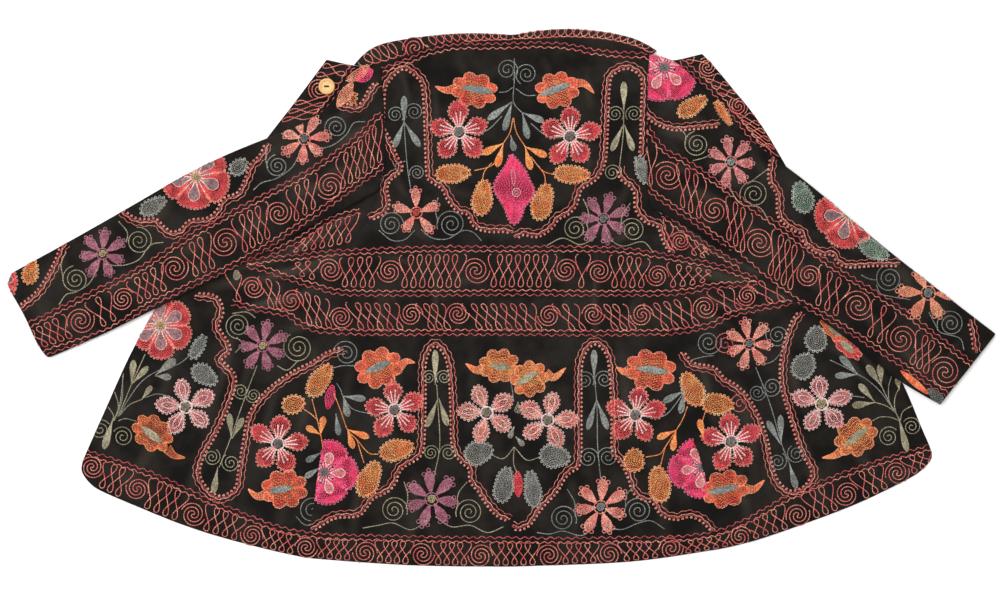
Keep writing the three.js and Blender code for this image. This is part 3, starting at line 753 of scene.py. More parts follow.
def upper_share(points):
    """1 on the upper layer of a sleeve, falling to nothing at its lower layer."""
    bottom, top = UPPER_LAYER
    return smooth_step((points[:, 2] / MM - bottom) / (top - bottom))


def draw_out(mesh, reach):
    """Makes up for the softening of a closed wall: its folds are moved outwards a little."""
    mesh.update()
    normals = np.empty(len(mesh.vertices) * 3, dtype=np.float32)
    mesh.vertex_normals.foreach_get("vector", normals)
    sideways = normals.reshape(-1, 3).copy()
    sideways[:, 2] = 0.0
    steep = np.linalg.norm(sideways, axis=1, keepdims=True)
    set_coordinates(mesh, coordinates(mesh) + sideways * steep * reach)


def cloth_wall(node, width, long, area, rests_on):
    """A sleeve, creased on its upper layer, or one half of the collar."""
    mesh = closed_wall(node)
    draw_out(mesh, FOLD_REACH * MM)
    wear_and_crest_highlight = np.full(len(mesh.vertices), COLLAR_WEAR)
    if node in SLEEVES:
        wear_and_crest_highlight = press_creases(mesh, SLEEVE_CREASES, upper_share)
    add_wear_and_crest_highlight(mesh, wear_and_crest_highlight)
    velvet_piece(node, mesh)


# ---------------------------------------- the button

# The button's section, from its underside over the rim to the middle of its dish: distance
# from the axis, as a share of the radius, and height, as a share of the whole.
BUTTON_SECTION = ((0.0, 0.05), (0.60, 0.0), (0.90, 0.12), (1.0, 0.42), (0.985, 0.72),
                  (0.90, 0.96), (0.82, 1.0), (0.74, 0.92), (0.66, 0.72), (0.58, 0.66),
                  (0.52, 0.70), (0.40, 0.67), (0.16, 0.62), (0.0, 0.62))
BUTTON_STEPS = 48
# The two turns of thread across its middle, in mm from the dish: x, how far apart, and z.
BAR_ROUTE = ((-3.2, 0.6, -0.5), (-2.6, 0.6, 0.3), (0.0, 0.48, 0.55), (2.6, 0.6, 0.3),
             (3.2, 0.6, -0.5))
BAR_FOOT = 0.64  # height of the bar's foot, as a share of the button's
BAR_RADIUS = 0.75  # mm
BAR_DYE = ((60, 40, 32), (38, 26, 22), 0.02)


def button_wood(low, high):
    """A turned button: a raised rim round a dish."""
    middle = (low + high) / 2
    radius = (high.x - low.x) / 2
    tall = high.z - low.z
    bm = bmesh.new()
    verts = [bm.verts.new((middle.x + r * radius, middle.y, low.z + z * tall))
             for r, z in BUTTON_SECTION]
    edges = [bm.edges.new(pair) for pair in zip(verts, verts[1:])]
    bmesh.ops.spin(bm, geom=verts + edges, cent=middle, axis=(0, 0, 1),
                   angle=math.tau, steps=BUTTON_STEPS, use_merge=True)
    bmesh.ops.remove_doubles(bm, verts=bm.verts, dist=MERGE)
    bmesh.ops.recalc_face_normals(bm, faces=bm.faces)
    mesh = finished_mesh(bm, "button wood")
    shade_softly(mesh)
    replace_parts(new_piece("button_wood", mesh, wood_material()), "button")


def button_thread(low, high):
    """The two turns of dark thread that hold the button."""
    middle = (low + high) / 2
    foot = low.z + BAR_FOOT * (high.z - low.z)
    bar = bpy.data.curves.new("button bar", "CURVE")
    bar.dimensions = "3D"
    bar.bevel_depth = BAR_RADIUS * MM
    bar.bevel_resolution = 3
    bar.use_fill_caps = True
    for side in (-1, 1):
        spline = bar.splines.new("POLY")
        spline.points.add(len(BAR_ROUTE) - 1)
        for point, (x, y, z) in zip(spline.points, BAR_ROUTE):
            point.co = (middle.x + x * MM, middle.y + side * y * MM, foot + z * MM, 1.0)
    mesh = evaluated_mesh(bpy.data.objects.new("button bar", bar))
    mesh.shade_smooth()
    new_piece("button_thread", mesh, thread_material("Dark sewing thread", *BAR_DYE))


# ---------------------------------------- thread paths
# A path is an array of complex numbers: x + y·i, in mm on the chart.

PATH_STEP = 1.8  # mm between the points of a sewn path
CURVE_STEPS = 12  # points of a soft curve between two charted places
SPIRAL_POINTS = 30  # points of a spiral for each of its turns
RUNNING_TURNS = 1.6  # turns of a border's scroll, on the way in and again on the way out
PETAL_POINTS = 19  # points along each side of a petal
ROW_GAP = 2.35  # mm between two rows of a filled shape
UNEVEN = 0.3  # of the gap between two rows, by which the hand strays from it


def arc_length(path):
    return np.concatenate(([0.0], np.cumsum(np.abs(np.diff(path)))))


def sample(path, run, stations):
    """The places of a path at some distances along it."""
    return np.interp(stations, run, path.real) + 1j * np.interp(stations, run, path.imag)


def even(path, step=PATH_STEP):
    """The path again, with its points evenly spaced."""
    path = np.asarray(path, dtype=complex)
    run = arc_length(path)
    count = max(2, int(round(run[-1] / step)) + 1)
    return sample(path, run, np.linspace(0.0, run[-1], count))


def curve(rows):
    """A soft curve through a table's rows."""
    points = [complex(*row) for row in rows]
    points = [2 * points[0] - points[1], *points, 2 * points[-1] - points[-2]]
    share = np.linspace(0.0, 1.0, CURVE_STEPS + 1)[:-1]
    runs = []
    for a, b, c, d in zip(points, points[1:], points[2:], points[3:]):
        runs.append(b + 0.5 * share * (c - a + share * (2 * a - 5 * b + 4 * c - d
                    + share * (3 * (b - c) + d - a))))
    return even(np.concatenate((*runs, [points[-2]])))


def across(path):
    """Unit steps to the left of a path, at each of its points."""
    run = np.gradient(path)
    return 1j * run / np.maximum(np.abs(run), 1e-9)


def beside(path, distance):
    return path + across(path) * distance


def wavy(path, height, pitch, start=0.0):
    """The path, swaying from side to side as a hand-guided row does."""
    beat = math.tau * arc_length(path) / pitch
    sway = np.sin(beat + start) + 0.25 * np.sin(beat / 2.7 + start)
    return even(path + across(path) * height * sway)


def picots(path, side, pitch, size, points=9):
    """Small round loops that stand on one side of a path, each a full turn of the thread."""
    run = arc_length(path)
    loops = max(1, int(run[-1] / pitch))
    foot = np.repeat((np.arange(loops) + 0.5) * run[-1] / loops, points)
    angle = np.tile(np.linspace(0.0, math.tau, points), loops)
    outwards = side * sample(across(path), run, foot)
    loop = size * (outwards * (1 - np.cos(angle)) + 1j * side * outwards * np.sin(angle))
    return sample(path, run, foot) + loop


def scroll(x, y, radius, turns, start, hand=1, heart=0.1):
    """A flat spiral from its rim to its heart. start is in degrees, and hand 1 turns left."""
    share = np.linspace(0.0, 1.0, int(turns * SPIRAL_POINTS))
    angle = math.radians(start) + hand * math.tau * turns * share
    return even(complex(x, y) + radius * (1 - (1 - heart) * share) * np.exp(1j * angle))


def running_scroll(centre, radius, lean, hand):
    """A thread that winds in to the heart of a scroll and out again between its own rings."""
    share = np.linspace(0.0, 1.0, int(RUNNING_TURNS * SPIRAL_POINTS))
    angle = math.pi + hand * math.tau * RUNNING_TURNS * share
    arm = radius * (1 - share) ** 0.92 * np.exp(1j * angle)
    whole = np.concatenate((arm, -arm[::-1]))
    return even(centre + whole * cmath.exp(1j * lean))


def ring(centre, radius, count=20):
    return centre + radius * np.exp(1j * np.linspace(0.0, math.tau, count))


def nested(outline, spine, spacing=ROW_GAP):
    """Closed rows inside an outline, each a little nearer to its spine."""
    start, end = spine
    run = end - start
    outline = even(outline)
    beat = np.arange(len(outline))
    share = np.clip(((outline - start) / run).real, 0.0, 1.0) if run else np.zeros(len(outline))
    foot = start + share * run
    rows = max(1, int(np.abs(outline - foot).max() / spacing))
    paths = []
    for row in range(rows + 1):
        shaken = row + UNEVEN * (np.sin(1.9 * beat + 2.3 * row) - 0.5)
        path = foot + (outline - foot) * (1 - shaken / (rows + 0.35))
        path[-1] = path[0]
        paths.append(even(path))
    return paths


def petal(size, width, root, belly, blunt):
    """The outline of a petal that points along X. belly is where it is widest."""
    share = np.linspace(0.0, 1.0, PETAL_POINTS)
    bend = math.log(0.5) / math.log(belly)
    half = width / 2 * np.sin(np.pi * share ** bend) ** blunt
    along = size * (root + (1 - root) * share)
    return np.concatenate((along + 1j * half, (along - 1j * half)[::-1][1:]))


def lobed(size, width, lobes, depth):
    """The outline of a leaf with a scalloped edge, along X from -size/2 to size/2."""
    angle = np.linspace(0.0, math.tau, 91)
    bump = np.abs(np.sin(angle * lobes / 2)) ** 0.7
    swell = 1 - depth + depth * bump
    return swell * (size / 2 * np.cos(angle) + 1j * width / 2 * np.sin(angle))


def moved(path, x, y, turn=0.0):
    return complex(x, y) + np.asarray(path) * cmath.exp(1j * math.radians(turn))


# ---------------------------------------- sewing

# The dyes: each thread runs between two colours, 0 to 255, over a length in metres.
DYES = {
    "rose": ((255, 168, 142), (232, 84, 88), 0.016),
    "wine": ((246, 116, 112), (192, 54, 68), 0.014),
    "peach": ((255, 186, 162), (240, 126, 110), 0.018),
    "scarlet": ((255, 92, 74), (232, 44, 50), 0.014),
    "crimson": ((255, 92, 88), (232, 34, 66), 0.012),
    "magenta": ((255, 73, 132), (250, 26, 91), 0.016),
    "flame": ((255, 150, 90), (255, 98, 58), 0.014),
    "orange": ((255, 178, 100), (255, 126, 56), 0.012),
    "rust": ((230, 122, 58), (178, 76, 38), 0.012),
    "apricot": ((255, 180, 140), (246, 136, 104), 0.016),
    "salmon": ((255, 185, 161), (246, 119, 110), 0.014),
    "dusty": ((250, 170, 162), (222, 112, 116), 0.012),
    "blush": ((255, 224, 216), (250, 180, 176), 0.012),
    "white": ((255, 246, 240), (250, 222, 216), 0.02),
    "mauve": ((190, 150, 150), (128, 92, 98), 0.012),
    "candy": ((255, 140, 170), (255, 86, 130), 0.012),
    "sand": ((255, 214, 166), (255, 166, 104), 0.012),
    "mist": ((206, 204, 194), (160, 160, 152), 0.014),
    "plum": ((205, 128, 147), (162, 84, 110), 0.016),
    "slate": ((160, 162, 156), (112, 118, 114), 0.03),
    "ash": ((176, 172, 160), (132, 128, 118), 0.02),
    "olive": ((190, 180, 148), (142, 132, 104), 0.026),
    "sage": ((168, 192, 168), (120, 146, 124), 0.018),
    "straw": ((226, 208, 148), (186, 166, 112), 0.012),
}
BACK = ("back_left", "back_right")
SIDES = ("side_left", "side_right")
FRONTS = ("front_left", "front_right")
SKIRT = ("skirt_front_left", "skirt_side_left", "skirt_back_left", "skirt_back_right",
         "skirt_side_right", "skirt_front_right")
COLLAR = ("collar_left", "collar_right")
BODY = BACK + SIDES + FRONTS + SKIRT
FOUR_WAYS = ((1, 0), (-1, 0), (0, 1), (0, -1))
COVERED = 5.0  # mm that a row goes on under a sleeve before it ends
SEAM_REACH = 0.45  # mm that a stitch steps over to find the cloth across a seam
SHORTEST = 2  # points of the shortest row that is worth sewing
LOOP_WIDTH = 0.58  # of the thread in a looped edge, beside a full row
LOOP_LIFT = 0.1  # mm of a looped edge over the pile
LOOP_STEP = 1.45  # mm between the points of a looped edge
ENTRY_SHADE = 0.7  # painted shade on the thread's crest where a stitch enters the cloth, beside the painted shade at its roots


class Sewing:
    """Gathers the rows of one group of motifs, by dye, and sews them as joined meshes."""

    def __init__(self, name):
        self.name = name
        self.rows = {}

    def loops(self, dye, path, side, cloth, pitch=4.8, size=1.45):
        """Lays a row of small round loops, of one plain thread, along an edge."""
        edge = picots(path, side, pitch, size)
        self.row(dye, edge, cloth, LOOP_WIDTH, LOOP_LIFT, LOOP_STEP, chain=False)

    def row(self, dye, path, cloth, width=1.0, lift=0.0, step=PATH_STEP, chain=True):
        """Lays one row of chain stitch on the cloth. lift is in mm over the pile."""
        run = []
        for number, place in enumerate(even(path, step)):
            spot = self.spot(place, cloth)
            if spot is None:
                self.keep(dye, run)
                run = []
                continue
            beat = 1.0 if number % 2 or not chain else settings().thread.waist
            run.append((spot.x, spot.y, spot.z + lift * MM, beat * width))
        self.keep(dye, run)

    def keep(self, dye, run):
        if len(run) >= SHORTEST:
            self.rows.setdefault(dye, []).append(run)

    @staticmethod
    def spot(place, cloth):
        """Where a stitch meets the cloth, or None where there is none or a sleeve covers it."""
        x = (place.real + CHART_SHIFT.x) * MM
        y = (place.imag + CHART_SHIFT.y) * MM
        reach = COVERED * MM
        if cloth is not SLEEVES and all(
                GROUND.height(x + dx * reach, y + dy * reach, SLEEVES) is not None
                for dx, dy in FOUR_WAYS):
            return None
        for dx, dy in ((0, 0), *FOUR_WAYS):
            height = GROUND.height(x + dx * SEAM_REACH * MM, y + dy * SEAM_REACH * MM, cloth)
            if height is not None:
                return Vector((x, y, height))
        return None

    def fill(self, dye, outline, spine, cloth, spacing=ROW_GAP, lift=0.0, width=1.0):
        for path in nested(outline, spine, spacing):
            self.row(dye, path, cloth, width, lift)

    def finish(self):
        """Turns the gathered rows into one mesh for each dye."""
        for dye, rows in sorted(self.rows.items()):
            mesh = sewn_rows(rows)
            beats = np.array([beat for run in rows for *_, beat in run])
            # Painted shade for the thread material: 1 at the roots of every point, and a share on the
            # crest where a stitch enters the cloth.
            depth = np.ones((len(beats), 3))
            depth[:, 1] = (beats < np.roll(beats, 1)) * ENTRY_SHADE
            ends = np.tile((1.0, 0.0, 1.0), 2 * len(rows))  # the caps' own points come first
            layer = mesh.attributes.new("depth", "FLOAT", "POINT")
            layer.data.foreach_set("value", np.concatenate((ends, depth.reshape(-1))))
            mesh = sealed(mesh)
            mesh.shade_smooth()
            material = thread_material(dye.title() + " thread", *DYES[dye])
            new_piece(self.name + "_" + dye, mesh, material)


def thread_section():
    """The section of a row of thread: a low ridge whose feet are sunk in the pile."""
    thread = settings().thread
    ridge = bpy.data.curves.new("ridge", "CURVE")
    ridge.dimensions = "2D"
    section = ridge.splines.new("POLY")
    corners = ((-thread.half_width, -thread.root), (0.0, thread.crest),
               (thread.half_width, -thread.root))
    section.points.add(len(corners) - 1)
    for point, (x, y) in zip(section.points, corners):
        point.co = (x, y, 0.0, 1.0)
    section.use_cyclic_u = True
    return bpy.data.objects.new("ridge", ridge)


def sewn_rows(rows):
    """One mesh of all the rows of a dye, drawn with the thread's section."""
    section = thread_section()
    line = bpy.data.curves.new("rows", "CURVE")
    line.dimensions = "3D"
    line.twist_mode = "Z_UP"
    line.bevel_mode = "OBJECT"
    line.bevel_object = section
    line.use_fill_caps = True
    for run in rows:
        spline = line.splines.new("POLY")
        spline.points.add(len(run) - 1)
        spline.points.foreach_set("co", [v for x, y, z, _ in run for v in (x, y, z, 1.0)])
        spline.points.foreach_set("radius", [beat for *_, beat in run])
    bpy.context.scene.collection.objects.link(section)
    mesh = evaluated_mesh(bpy.data.objects.new("rows", line))
    bpy.data.objects.remove(section)
    return mesh


def sealed(mesh):
    """The mesh with its caps joined to its sides."""
    bm = bmesh.new()
    bm.from_mesh(mesh)
    bmesh.ops.remove_doubles(bm, verts=bm.verts, dist=MERGE / 10)
    bm.to_mesh(mesh)
    bm.free()
    return mesh


# ---------------------------------------- motifs

# How petals are cut: root, belly and bluntness of the outline, then where its spine starts and
# ends, as shares of the petal's reach.
PETALS = {
    "star": (0.16, 0.62, 0.90, 0.42, 0.74),
    "daisy": (0.20, 0.66, 0.62, 0.42, 0.72),
    "full bloom": (0.10, 0.72, 0.60, 0.40, 0.66),
    "full bloom's drop": (0.20, 0.68, 0.70, 0.40, 0.56),
    "looped bloom": (0.12, 0.68, 0.72, 0.44, 0.70),
    "looped bloom's drop": (0.30, 0.66, 0.65, 0.38, 0.50),
}
PETAL_BREADTH = 1.24  # of a broad petal, beside the room it has at its bloom's rim
STAR_RAYS = ((-21, 0.56), (-7, 0.70), (7, 0.67), (21, 0.54))  # degrees aside, and reach
BLOOM_GAP = 2.15  # mm between the rows of a looped bloom, which are sewn close
# The rows of a bloom's petal from its rim to the drop that lies on it.
BLOOM_ROWS = ("scarlet", "crimson", "crimson", "scarlet", "crimson", "crimson", "scarlet")
# Paler dyes for the raised loops of an edge: partly a paler thread of their own, partly a painted
# highlight.
LOOP_DYES_WITH_HIGHLIGHT = {"crimson": "salmon", "salmon": "blush", "dusty": "blush", "magenta": "candy",
             "orange": "sand", "rust": "sand", "slate": "mist", "ash": "mist", "sage": "mist"}
LEAF_GAP = 2.4  # mm between the rows of a grey leaf or drop
LEAF_GAPS = {"slate": LEAF_GAP, "olive": LEAF_GAP, "sage": LEAF_GAP}
LEAF_RIMS = {"flame": ("apricot", "scarlet"), "orange": ("apricot", "rust"),
             "rust": ("orange", "flame"), "crimson": ("salmon", "scarlet")}
TAIL_WIDTH = 6.2  # mm, half the width of a scalloped leaf's tail at its root
DROP_GAP = 2.1  # mm between the rows of a drop
CLUB_WIDTH = 9.0  # of the club and the drops of a little tree, in mm
TREE_DROP_WIDTH = 8.5
BALL_DISTANCE = 4.7  # mm from a garland's main row to its balls
BALL_PITCH = 6.2
BALL_RADIUS = 1.35


def hand_drift(seed, number):
    """A small unevenness of the hand, -1 to 1, that differs from motif to motif."""
    return math.sin(1.7 * seed + 2.4 * number)


def petal_rows(cut, size, width, x, y, turn, reach, spacing=ROW_GAP):
    """Closed rows that fill one petal of a flower, whose middle is at x, y."""
    root, belly, blunt, start, end = PETALS[cut]
    spine = moved((reach * start, reach * end), x, y, turn)
    return nested(moved(petal(size, width, root, belly, blunt), x, y, turn), spine, spacing)


def heart_patch(sew, x, y, radius, cloth, dye):
    sew.row(dye, scroll(x, y, radius, radius / 2.0, start=0, heart=0.02), cloth, lift=0.45)


def star_flower(sew, x, y, radius, turn, cloth, petals, heart, edge):
    """Five petals with looped edges, four pale rays on each, and a ringed heart."""
    for number in range(5):
        angle = turn + number * 72 + 4 * hand_drift(x, number)
        size = radius * (1.06 + 0.05 * hand_drift(y, number))
        breadth = radius * ((0.48 if edge else 0.54) + 0.04 * hand_drift(x + y, number))
        rows = petal_rows("star", size - 2.4, breadth, x, y, angle, size)
        sew.loops(LOOP_DYES_WITH_HIGHLIGHT[petals], rows[0], 1, cloth)
        for place, path in enumerate(rows):
            sew.row(petals if place or not edge else edge, path, cloth)
        if edge:
            slim = petal(radius * 0.86, radius * 0.21, root=0.24, belly=0.62, blunt=0.8)
            sew.row("white", moved(slim, x, y, angle), cloth, width=0.7, lift=0.6)
            continue
        for lean, reach in STAR_RAYS:
            ray = (radius * 0.24, radius * reach)
            sew.row("white", moved(ray, x, y, angle + lean), cloth, width=1.1, lift=0.5)
    sew.row("white", ring(complex(x, y), radius * 0.215), cloth, width=1.3, lift=0.5)
    heart_patch(sew, x, y, radius * 0.15, cloth, heart)


def daisy(sew, x, y, radius, turn, cloth, petals, heart, count):
    """Narrow petals, each with three small loops at its tip, round a ringed heart."""
    for number in range(count):
        angle = turn + number * 360 / count
        size = radius * (1.0 - 0.07 * (number % 3))
        for path in petal_rows("daisy", size * 0.90, radius * 0.30, x, y, angle, size):
            sew.row(petals, path, cloth)
        for lean in (-11, 0, 11):
            tip = moved((size * (0.93 - 0.0008 * lean ** 2),), x, y, angle + lean)[0]
            sew.row(petals, ring(tip, radius * 0.065, count=9), cloth, width=0.8, lift=0.2)
    sew.row(petals, ring(complex(x, y), radius * 0.21), cloth, width=0.9, lift=0.3)
    heart_patch(sew, x, y, radius * 0.14, cloth, heart)


def full_bloom(sew, x, y, radius, turn, count, cloth):
    """A full bloom: broad looped petals, a slim pale-edged drop in each, rays and a heart."""
    breadth = radius * PETAL_BREADTH * math.tan(math.pi / count)
    for number in range(count):
        angle = turn + number * 360 / count
        size = radius * (1.0 + 0.05 * hand_drift(x, number))
        rows = petal_rows("full bloom", size - 2.6, breadth, x, y, angle, radius)
        sew.loops("salmon", rows[0], 1, cloth)
        for path, dye in zip(rows, BLOOM_ROWS):
            sew.row(dye, path, cloth)
        rows = petal_rows("full bloom's drop", radius * 0.72, radius * 0.34, x, y, angle,
                          radius, 1.8)
        for place, path in enumerate(rows):
            sew.row("mauve" if place else "blush", path, cloth, width=0.8, lift=0.5)
        for lean, reach in ((-180 / count, 0.52), (-14, 0.36), (14, 0.36)):
            ray = (radius * 0.14, radius * reach)
            sew.row("white", moved(ray, x, y, angle + lean), cloth, width=0.72, lift=0.6)
    heart_patch(sew, x, y, radius * 0.14, cloth, "straw")


def looped_bloom(sew, x, y, radius, turn, cloth, petals):
    """Five broad petals with looped edges, run together, with a small pale drop in each."""
    breadth = radius * PETAL_BREADTH * math.tan(math.pi / 5)
    for number in range(5):
        angle = turn + number * 72
        size = radius * (1.0 + 0.06 * hand_drift(y, number))
        rows = petal_rows("looped bloom", size - 3.0, breadth, x, y, angle, radius, BLOOM_GAP)
        sew.loops(LOOP_DYES_WITH_HIGHLIGHT[petals], rows[0], 1, cloth, pitch=5.2, size=1.6)
        for path in rows:
            sew.row(petals, path, cloth)
        middle = (radius * 0.44, radius * 0.70)
        sew.row(petals, moved(middle, x, y, angle), cloth, width=1.3)
        rows = petal_rows("looped bloom's drop", radius * 0.62, radius * 0.25, x, y, angle,
                          radius, 1.9)
        for place, path in enumerate(rows):
            sew.row("dusty" if place else "white", path, cloth, width=0.9, lift=0.5)
        for lean in (-26, 0, 26):
            ray = (radius * 0.16, radius * (0.30 if lean else 0.22))
            sew.row("white", moved(ray, x, y, angle + lean), cloth, width=0.7, lift=0.5)
    heart_patch(sew, x, y, radius * 0.14, cloth, "slate")


def looped_leaf(sew, cloth, body, loops, x, y, size, width, turn):
    """An oval leaf whose whole edge is a row of small round loops."""
    angle = np.linspace(0.0, math.tau, 40)
    swell = 1 - 0.20 * np.cos(angle) + 0.07 * np.sin(5 * angle + x)
    rim = (size / 2 - 2.7) * np.cos(angle) + 1j * (width / 2 - 2.7) * swell * np.sin(angle)
    path = even(moved(rim, x, y, turn))
    sew.loops(LOOP_DYES_WITH_HIGHLIGHT[loops], path, -1, cloth, pitch=5.0, size=1.55)
    half = 0.8 * max(size / 2 - width / 2, 0.5)
    spine = moved((-half, half), x, y, turn)
    for place, inner in enumerate(nested(path, spine, LEAF_GAPS.get(body, ROW_GAP))):
        sew.row(body if place % 2 else loops, inner, cloth, width=0.95)


def scalloped_leaf(sew, x, y, size, width, turn, slit, tail, cloth, body):
    """A big leaf with a scalloped edge, a dark spindle down its middle and a curled tail."""
    outline = moved(lobed(size * 1.08, width * 1.12, lobes=8, depth=0.28), x, y, turn)
    start, end = complex(*slit[0]), complex(*slit[1])
    run = end - start
    rim, inner = LEAF_RIMS[body]
    for place, path in enumerate(nested(outline, (start + run * 0.15, end - run * 0.15))):
        sew.row(rim if place == 0 else inner if place in (2, 4) else body, path, cloth)
    dark = start + run * petal(1.0, 9.0 / abs(run), root=0.0, belly=0.5, blunt=0.8)
    vein = "slate" if body == "flame" else "olive"
    sew.fill(vein, dark, (start + run * 0.25, start + run * 0.75), cloth, spacing=1.8, lift=0.5)
    if tail:
        bend = curve(tail)
        taper = TAIL_WIDTH * (1 - np.linspace(0.0, 1.0, len(bend))) ** 0.7
        for side in np.linspace(-1.0, 1.0, 7):
            path = bend + across(bend) * side * taper
            sew.row(rim if abs(side) == 1 else body, path, cloth)


def drop(sew, cloth, dye, tail, tip, width):
    """A filled teardrop from a thin tail to a round tip."""
    start = complex(*tail)
    run = complex(*tip) - start
    shape = start + run * petal(1.0, 0.9 * width / abs(run), root=0.0, belly=0.74, blunt=0.68)
    spacing = LEAF_GAPS.get(dye, DROP_GAP)
    sew.fill(dye, shape, (start + run * 0.3, start + run * 0.84), cloth, spacing, width=0.9)


def bud(sew, x, y, size, width, turn, cloth, dye):
    """A spindle of close rows."""
    shape = petal(size, width, root=0.0, belly=0.5, blunt=0.7) - size / 2
    spine = (-size * 0.3, size * 0.3)
    sew.fill(dye, moved(shape, x, y, turn), moved(spine, x, y, turn), cloth)


def stem(sew, cloth, dye, rows):
    sew.row(dye, curve(rows), cloth)


def sprig(sew, dye, cloth, club, scrolls, drops, stems):
    """A small tree: a club at its head, scrolls and drops on both sides, and its stems."""
    if club:
        drop(sew, cloth, dye, *club, CLUB_WIDTH)
    for x, y, radius, start, hand in scrolls:
        sew.row(dye, scroll(x, y, radius * 1.2, 2.3, start, hand, heart=0.12), cloth, width=0.9)
    for tail, tip in drops:
        drop(sew, cloth, dye, tail, tip, TREE_DROP_WIDTH)
    for rows in stems:
        stem(sew, cloth, dye, rows)


def free_scroll(sew, x, y, radius, turns, start, hand, dye, cloth, tails):
    """A scroll on the open ground, with the thin stems that it hangs on."""
    sew.row(dye, scroll(x, y, radius * 1.12, turns, start, hand), cloth, width=0.95)
    for rows in tails:
        stem(sew, cloth, dye, rows)


def garland(sew, rows, side, cloth):
    """A vine of three rows: a thick one, a thin swaying one outside it, and round loops."""
    path = curve(rows)
    sew.row("peach", wavy(path, height=0.7, pitch=13.0), cloth, width=0.95)
    thin = wavy(beside(path, -side * 4.6), height=1.0, pitch=12.0, start=1.0)
    sew.row("rose", thin, cloth, width=0.62)
    sew.row("wine", beside(path, side * 1.9), cloth, width=0.6)
    for place in even(beside(path, side * BALL_DISTANCE), BALL_PITCH)[1:-1]:
        sew.row("peach", ring(place, BALL_RADIUS, count=7), cloth, width=1.15)


# ---------------------------------------- borders

PAIR_GAP = 3.1  # mm from the middle of a pair of wavy rows to each of them
BAND_PITCH = 13.0  # mm from one figure of eight to the next
BAND_INSET = 7.5  # mm that the two edges of a border take from its loops' height
NARROWEST = 7.0  # mm: a border with less room than this on each side has no loops
FIGURE_SWAY = 5.2  # mm that a figure of eight leans to each side, and an upright loop
UPRIGHT_SWAY = 7.0
LOOP_POINTS = 26  # points of one loop of a border


def wavy_pair(sew, path, cloth, start=0.0):
    left = wavy(beside(path, -PAIR_GAP), height=1.5, pitch=11.0, start=start)
    right = wavy(beside(path, PAIR_GAP), height=1.7, pitch=11.8, start=start + 2.2)
    sew.row("rose", left, cloth, width=0.88)
    sew.row("wine", right, cloth, width=0.84)


def scroll_band(sew, top, bottom, scrolls, cloth, pairs="both", pitch=BAND_PITCH,
                narrowest=NARROWEST, upright=False):
    """A border of running scrolls, with loops between them: figures of eight, or upright ones."""
    edges = (curve(top), curve(bottom))
    count = max(len(edge) for edge in edges)
    spread = np.linspace(0.0, 1.0, count)
    upper, lower = (sample(edge, np.linspace(0.0, 1.0, len(edge)), spread) for edge in edges)
    if pairs in ("both", "top"):
        wavy_pair(sew, upper, cloth)
    if pairs in ("both", "bottom"):
        wavy_pair(sew, lower[::-1], cloth, 1.3)
    middle = (upper + lower) / 2
    half = np.abs(upper - lower) / 2
    given_up = {"both": BAND_INSET, "none": 1.0}.get(pairs, BAND_INSET / 2)
    rise = (upper - lower) / 2 / half * np.maximum(half - given_up, narrowest / 2)
    run = arc_length(middle)
    stops = []
    for x, y, radius in scrolls:
        near = int(np.argmin(np.abs(middle - complex(x, y))))
        lean = cmath.phase(middle[min(near + 3, count - 1)] - middle[max(near - 3, 0)])
        hand = 1 if len(stops) % 2 else -1
        wound = running_scroll(complex(x, y), radius * 1.14, lean, hand)
        sew.row("rose", wound, cloth, width=0.92)
        stops.append((run[near] - radius * 1.1, run[near] + radius * 1.1))
    ends = [2.0, *(value for stop in sorted(stops) for value in stop), run[-1] - 2.0]
    for start, end in zip(ends[::2], ends[1::2]):
        if end - start < pitch * 0.55:
            continue
        loops = max(1, int(round((end - start) / pitch)))
        angle = np.linspace(0.0, math.tau * loops, loops * LOOP_POINTS + 1)
        sway = -UPRIGHT_SWAY * np.sin(angle) if upright else -FIGURE_SWAY * np.sin(2 * angle)
        station = np.clip(start + (end - start) * angle / angle[-1] + sway, 0.0, run[-1])
        reach = sample(rise, run, station)
        loop = sample(middle, run, station) + reach * np.cos(angle)
        narrow = np.abs(reach) < narrowest
        for piece in np.split(np.arange(len(angle)), np.flatnonzero(np.diff(narrow)) + 1):
            if not narrow[piece[0]] and len(piece) > 8:
                sew.row("rose", loop[piece], cloth, width=0.88)


# ---------------------------------------- charts of the borders

